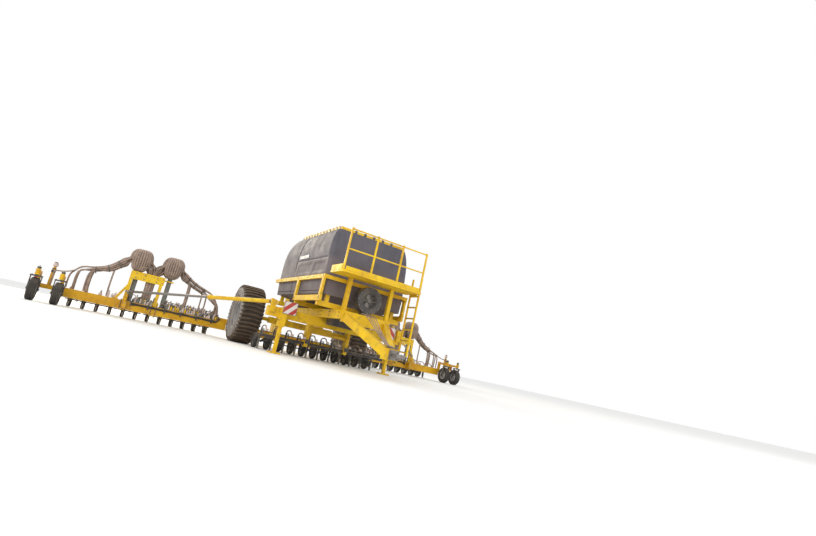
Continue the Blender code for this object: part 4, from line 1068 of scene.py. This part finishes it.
def make_beam_fittings(side):
    """Bearing, end and bracket bolts of the wing beam, and the hose line clipped along its front."""
    sign = SIDES[side]
    body = f"wing_{side}"
    bolts = Form()
    for k in (1, 5, 9):
        for reach, way in ((-0.001, -sign), (0.071, sign)):
            bolts.bolts([sign * (TINES[k] + 0.18 + reach)], [SHAFT_Y], (SHAFT_Z - 0.065, SHAFT_Z + 0.065),
                        (way, 0, 0), 0.018, 0.012)
    bolts.bolts([sign * 6.72], (3.21, 3.30, 3.39), (0.30, 0.48), (sign, 0, 0), 0.020, 0.012)
    bolts.bolts((sign * 5.11, sign * 5.17), [2.972], (0.33, 0.45), (0, -1, 0), 0.018, 0.010)
    bolts.piece(f"beam_bolts_{side}", body, "bare_steel")
    hoses, clips = Form(), Form()
    for k in range(3):
        points = [(2.36, 3.24 - 0.01 * k, 0.60)]
        for j in range(17):
            x = 2.46 + 0.155 * j
            sag = 0.007 * math.sin(2.1 * j + k) - 0.008 * abs(math.sin(0.9 * j))
            points.append((x, 3.150 - 0.010 * (k % 2), 0.496 - 0.020 * k + sag))
        points.append((5.02, 3.24, 0.56 + 0.02 * k))
        hoses.tube(smooth_route([(sign * x, y, z) for x, y, z in points], 4), 0.0135)
    hoses.piece(f"line_hoses_{side}", body, "packer_rubber")
    for k in range(6):
        x = 2.62 + 0.47 * k
        clips.box((sign * (x - 0.016), 3.118, 0.385), (sign * (x + 0.016), 3.169, 0.520))
        clips.bolt((sign * x, 3.118, 0.40), (0, -1, 0), 0.014, 0.008)
    clips.piece(f"line_clips_{side}", body, "dark_metal", bevel=0.003)


ROW_KEEPS_CLEAR = ((5.18, 4.34, 4.21), (5.18, 5.06, 4.34, 4.21, 4.13, 4.05), (5.05, 4.66, 4.59, 4.13))


def make_beam_clutter(side):
    """Valves, caps, junction blocks and looped hoses on top of the wing beam, inboard of the outer head."""
    sign = SIDES[side]
    body = f"wing_{side}"
    draw = random.Random(11)
    pale, grey, dark, brass, loops, steel = Form(), Form(), Form(), Form(), Form(), Form()
    base = BEAM_TOP + 0.001
    for k in range(117):
        x = 2.44 + 0.0226 * k
        row = k % 3
        if min(abs(x - post) for post in ROW_KEEPS_CLEAR[row]) < (0.05, 0.09, 0.13)[row]:
            continue
        y = (3.186, 3.262, 3.345)[row] + 0.018 * draw.random()
        tall = (0.07, 0.12, 0.15)[row] + 0.10 * draw.random()
        kind = draw.choice((0, 0, 1, 2, 3))
        if kind == 0:
            pale.turned([(0.018, 0), (0.030, 0.006), (0.030, tall * 0.50), (0.019, tall * 0.56),
                         (0.019, tall), (0.010, tall + 0.010)], (sign * x, y, base), UP, 14)
        elif kind == 1:
            grey.box((sign * (x - 0.026), y - 0.020, base), (sign * (x + 0.026), y + 0.020, base + tall))
            grey.turned([(0.012, 0), (0.016, 0.004), (0.016, 0.03), (0.008, 0.036)],
                        (sign * x, y, base + tall), UP, 12)
        elif kind == 2:
            top = base + tall * 0.8
            dark.box((sign * (x - 0.020), y - 0.018, base), (sign * (x + 0.020), y + 0.018, top))
            dark.turned([(0.020, 0), (0.026, 0.006), (0.026, 0.030), (0.010, 0.038)], (sign * x, y, top),
                        (0.3, -0.5, 0.8), 14)
        else:
            brass.turned([(0.018, 0), (0.024, 0.004), (0.024, tall * 0.4), (0.032, tall * 0.45),
                          (0.032, tall * 0.7), (0.016, tall * 0.75), (0.016, tall)],
                         (sign * x, y, base), UP, 12)
        if k % 4:
            continue
        rise = 0.13 + 0.10 * draw.random()
        reach = 0.10 + 0.10 * draw.random()
        loops.tube(smooth_route([(sign * x, y + 0.05, base), (sign * (x + 0.01), y + 0.05, base + rise * 0.7),
                                 (sign * (x + reach * 0.5), y + 0.03, base + rise),
                                 (sign * (x + reach), y + 0.05, base + rise * 0.6),
                                 (sign * (x + reach), y + 0.07, base)], 4), 0.010 + 0.004 * (k % 2))
    for z, y in ((0.66, 3.30), (0.745, 3.37)):
        steel.rod((sign * 2.46, y, z), (sign * 4.02, y, z), 0.014)
        for x in (2.60, 3.28, 3.96):
            steel.box((sign * (x - 0.015), y - 0.008, base), (sign * (x + 0.015), y + 0.008, z + 0.016))
        for k in range(9):
            x = 2.54 + 0.172 * k
            pale.turned([(0.016, 0), (0.024, 0.004), (0.024, 0.05), (0.014, 0.058)], (sign * x, y, z + 0.008),
                        (0, -0.35, 1), 14)
    for x, y, tall in ((5.42, 3.22, 0.16), (5.50, 3.26, 0.11), (5.60, 3.21, 0.20), (5.78, 3.24, 0.09)):
        pale.turned([(0.022, 0), (0.034, 0.006), (0.034, tall * 0.6), (0.020, tall * 0.66), (0.020, tall)],
                    (sign * x, y, base + (0.02 if x < 5.55 else 0.0)), UP, 16)
    pale.piece(f"seed_sensors_{side}", body, "pale_plastic", bevel=0.002)
    grey.piece(f"junction_blocks_{side}", body, "grey_plastic", bevel=0.003)
    dark.piece(f"beam_valves_{side}", body, "dark_metal", bevel=0.002)
    brass.piece(f"valve_caps_{side}", body, "yellow_edge", bevel=0.002)
    loops.piece(f"looped_hoses_{side}", body, "hose_rubber")
    steel.piece(f"hose_rails_{side}", body, "bare_steel")


def ball_profile(radius, steps=9):
    angles = [math.pi * k / steps for k in range(1, steps)]
    return [(radius * math.sin(angle), -radius * math.cos(angle)) for angle in angles]


def make_brace_fittings(side):
    """Gland and bands on the brace tube, its ball at the chassis, and its ball pin at the wing."""
    sign = SIDES[side]
    pin = Vector((sign * 1.96, -0.80, 1.30))
    end = Vector((sign * 5.14, 3.02, 0.80))
    along = (end - pin).normalized()
    tube = Form()
    tube.turned([(0.058, -0.09), (0.066, -0.08), (0.066, 0.012), (0.060, 0.020), (0.041, 0.020),
                 (0.041, -0.09)], pin + along * 2.05, along, 28, closed=True)
    for reach in (0.30, 1.10):
        tube.ring(pin + along * reach, along, 0.0555, 0.063, 0.030, 28)
    tube.piece(f"brace_gland_{side}", f"brace_{side}", "frame_yellow")
    ball = Form()
    ball.turned(ball_profile(0.062), pin, (0, 1, 0), 28)
    ball.piece(f"brace_ball_{side}", "chassis", "bare_steel")
    cap = Form()
    cap.turned(ball_profile(0.032), end, UP, 24)
    cap.rod(end - UP * 0.080, end - UP * 0.020, 0.015)
    cap.piece(f"brace_pin_{side}", f"wing_{side}", "bare_steel")


def make_castor_fittings(side, index):
    """Spindle cap and nuts of a wing-tip castor, its sleeve bands, and the outer one's reflector."""
    sign = SIDES[side]
    node = f"castor_fork_{index}_{side}"
    wheel = middle(f"tip_wheel_{index}_{side}")
    x, y = wheel.x, 2.70
    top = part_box(node)[1].z
    cap = Form()
    cap.turned([(0.046, 0.0), (0.046, 0.006), (0.030, 0.012)], (x, y, top - 0.004), UP, 24)
    cap.turned([(0.012, 0.0), (0.015, 0.004), (0.015, 0.026), (0.006, 0.034)], (x, y, top), UP, 12)
    for way in (-1, 1):
        cap.bolt((x + way * 0.137, wheel.y, wheel.z), (way, 0, 0), 0.022, 0.012)
        cap.bolt((x + way * 0.105, y + 0.02, 0.685), UP, 0.018, 0.012)
    cap.piece(f"castor_nuts_{index}_{side}", f"castor_{index}_{side}", "bare_steel")
    sleeve = Form()
    for z in (0.715, 0.835):
        sleeve.ring((x, y, z), UP, 0.055, 0.063, 0.020, 28)
    sleeve.turned([(0.056, 0.0), (0.056, 0.012)], (x, y, 0.850), UP, 28)
    sleeve.piece(f"castor_sleeve_{index}_{side}", f"wing_{side}", "frame_yellow", bevel=0.002)
    if index == 1:
        lens = Form()
        lens.box((sign * 7.352, 3.18, 0.55), (sign * 7.40, 3.225, 0.78))
        lens.box((sign * 7.40, 3.17, 0.54), (sign * 7.408, 3.235, 0.79))
        lens.piece(f"tip_reflector_{side}", f"wing_{side}", "red_lens", bevel=0.004)
        make_marker(side)


def make_marker(side):
    """Knob, caps, bracket and cable of the marker post between the tip wheels."""
    sign = SIDES[side]
    x, y = sign * 7.04, 3.245
    knob = Form()
    knob.turned([(0.036, 0.0), (0.058, 0.010), (0.064, 0.045), (0.060, 0.085), (0.040, 0.105)], (x, y, 1.03),
                UP, 28)
    knob.piece(f"marker_knob_{side}", f"wing_{side}", "pale_plastic")
    cap = Form()
    cap.turned([(0.040, 0.0), (0.044, 0.006), (0.044, 0.024), (0.020, 0.036)], (x, y, 1.130), UP, 24)
    cap.turned([(0.050, 0.0), (0.050, 0.030), (0.040, 0.036)], (x, y, 0.950), UP, 24)
    cap.box((x - 0.052, y - 0.052, 0.86), (x + 0.052, y - 0.044, 0.93))
    cap.piece(f"marker_cap_{side}", f"wing_{side}", "dark_metal")
    cable = Form()
    cable.tube(smooth_route([(sign * 6.56, 3.33, 1.08), (sign * 6.70, 3.30, 1.00), (sign * 6.84, 3.26, 0.955),
                             (sign * 6.97, 3.235, 0.935), (sign * 7.02, 3.195, 0.90), (sign * 7.02, 3.190, 0.70),
                             (sign * 7.02, 3.185, 0.52)], 5), 0.018)
    cable.piece(f"marker_cable_{side}", f"wing_{side}", "hose_rubber")


# ---------------------------------------------------------------- openers
def make_row_units(label, wing_body, opener_body, xs, shaft_y, tall):
    """Springs, boots and points on each opener, and the seed hose that feeds it from the beam."""
    iron, boots, pale, springs, hoses, seats = Form(), Form(), Form(), Form(), Form(), Form()
    shank = shaft_y + 0.40
    for x in xs:
        outline = ((-1, -0.045), (1, -0.045), (1, 0.02), (-1, 0.02))
        iron.loft([[Vector((x + a * w, shank + b, z)) for a, b in outline]
                   for z, w in ((0.004, 0.004), (0.06, 0.016), (0.16, 0.020))])
        boots.tube(smooth_route([(x, shank + 0.045, 0.34), (x, shank + 0.050, 0.20),
                                 (x, shank + 0.060, 0.09)], 4), 0.017)
        iron.bolt((x + 0.020, shank, 0.47), (1, 0, 0), 0.018, 0.012)
        iron.bolt((x + 0.020, shaft_y + 0.12, SHAFT_Z + 0.005), (1, 0, 0), 0.018, 0.012)
        turns, coil = 6, []
        for j in range(turns * 10 + 1):
            angle = 2 * math.pi * j / 10
            t = j / (turns * 10)
            coil.append(Vector((x + 0.026 * math.cos(angle),
                                shaft_y + 0.13 + 0.11 * t + 0.026 * math.sin(angle) * 0.6,
                                0.445 + 0.13 * t + 0.026 * math.sin(angle) * 0.8)))
        springs.tube(coil, 0.0055, 6)
        rise = 0.30 if tall(x) else 0.16
        hoses.tube(smooth_route([(x + 0.01, shank + 0.045, 0.33), (x + 0.01, shank + 0.06, 0.50),
                                 (x, shank - 0.04, 0.52 + rise * 0.75), (x, shaft_y + 0.10, 0.50 + rise),
                                 (x - 0.01, shaft_y - 0.06, 0.50 + rise * 0.55),
                                 (x - 0.01, shaft_y - 0.15, 0.555)], 5), 0.017)
        seats.box((x - 0.045, shaft_y - 0.19, BEAM_TOP + 0.002),
                  (x + 0.025, shaft_y - 0.12, BEAM_TOP + 0.060))
        if tall(x):
            pale.turned([(0.022, 0.0), (0.034, 0.008), (0.034, 0.055), (0.022, 0.066)],
                        (x, shank - 0.02, 0.60), (0, -0.5, 1), 16)
    iron.piece(f"opener_points_{label}", opener_body, "bare_steel", bevel=0.002)
    boots.piece(f"opener_boots_{label}", opener_body, "grey_plastic", bevel=0.002)
    if any(tall(x) for x in xs):
        pale.piece(f"seed_caps_{label}", opener_body, "pale_plastic", bevel=0.002)
    springs.piece(f"opener_springs_{label}", opener_body, "bare_steel")
    seats.piece(f"hose_seats_{label}", wing_body, "pale_plastic", bevel=0.002)
    made = hoses.piece(f"seed_hoses_{label}", wing_body, "hose_rubber", ride=False)
    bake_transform(made)


def make_centre_seed_rail():
    """Rail across the front of the centre hanger that the middle hoses stand on."""
    rail = Form()
    rail.box((-1.90, -0.495, BEAM_TOP - 0.024), (1.90, -0.402, BEAM_TOP))
    for sign in (-1, 1):
        rail.box((sign * 0.57, -0.495, BEAM_TOP - 0.110), (sign * 0.67, -0.401, BEAM_TOP - 0.020))
    rail.piece("centre_seed_rail", "chassis", "dark_metal", bevel=0.003)


# ---------------------------------------------------------------- everything
def build():
    make_camera()
    make_stage()
    dress_nodes()
    make_tank()
    for where in ("front", "rear"):
        make_lid_fittings(where)
        make_meter_fittings(where)
    make_frame_fasteners()
    make_top_rail_fittings()
    make_platform_fittings()
    make_fan_fittings()
    make_drawbar_fittings()
    centre_row = [ROW_PITCH * (k - 5) for k in range(11)]
    make_packer("centre_packer", "centre_packer", centre_row, 0.52)
    make_centre_seed_rail()
    make_row_units("centre", "chassis", "centre_openers", centre_row, -0.30, lambda x: False)
    for side, sign in SIDES.items():
        make_wheel(side)
        make_leg_fittings(side)
        make_brace_fittings(side)
        make_beam_fittings(side)
        make_beam_clutter(side)
        make_tower_frame_fittings(side)
        for index in (1, 2):
            make_tower(side, index)
            make_tip_wheel(side, index)
            make_castor_fittings(side, index)
        row = [sign * x for x in TINES]
        make_packer(f"packer_inner_{side}", f"packer_inner_{side}", row[:6], PACKER_Y)
        make_packer(f"packer_outer_{side}", f"packer_outer_{side}", row[6:], PACKER_Y)
        make_row_units(side, f"wing_{side}", f"openers_{side}", row, SHAFT_Y, lambda x: abs(x) < 4.9)


build()
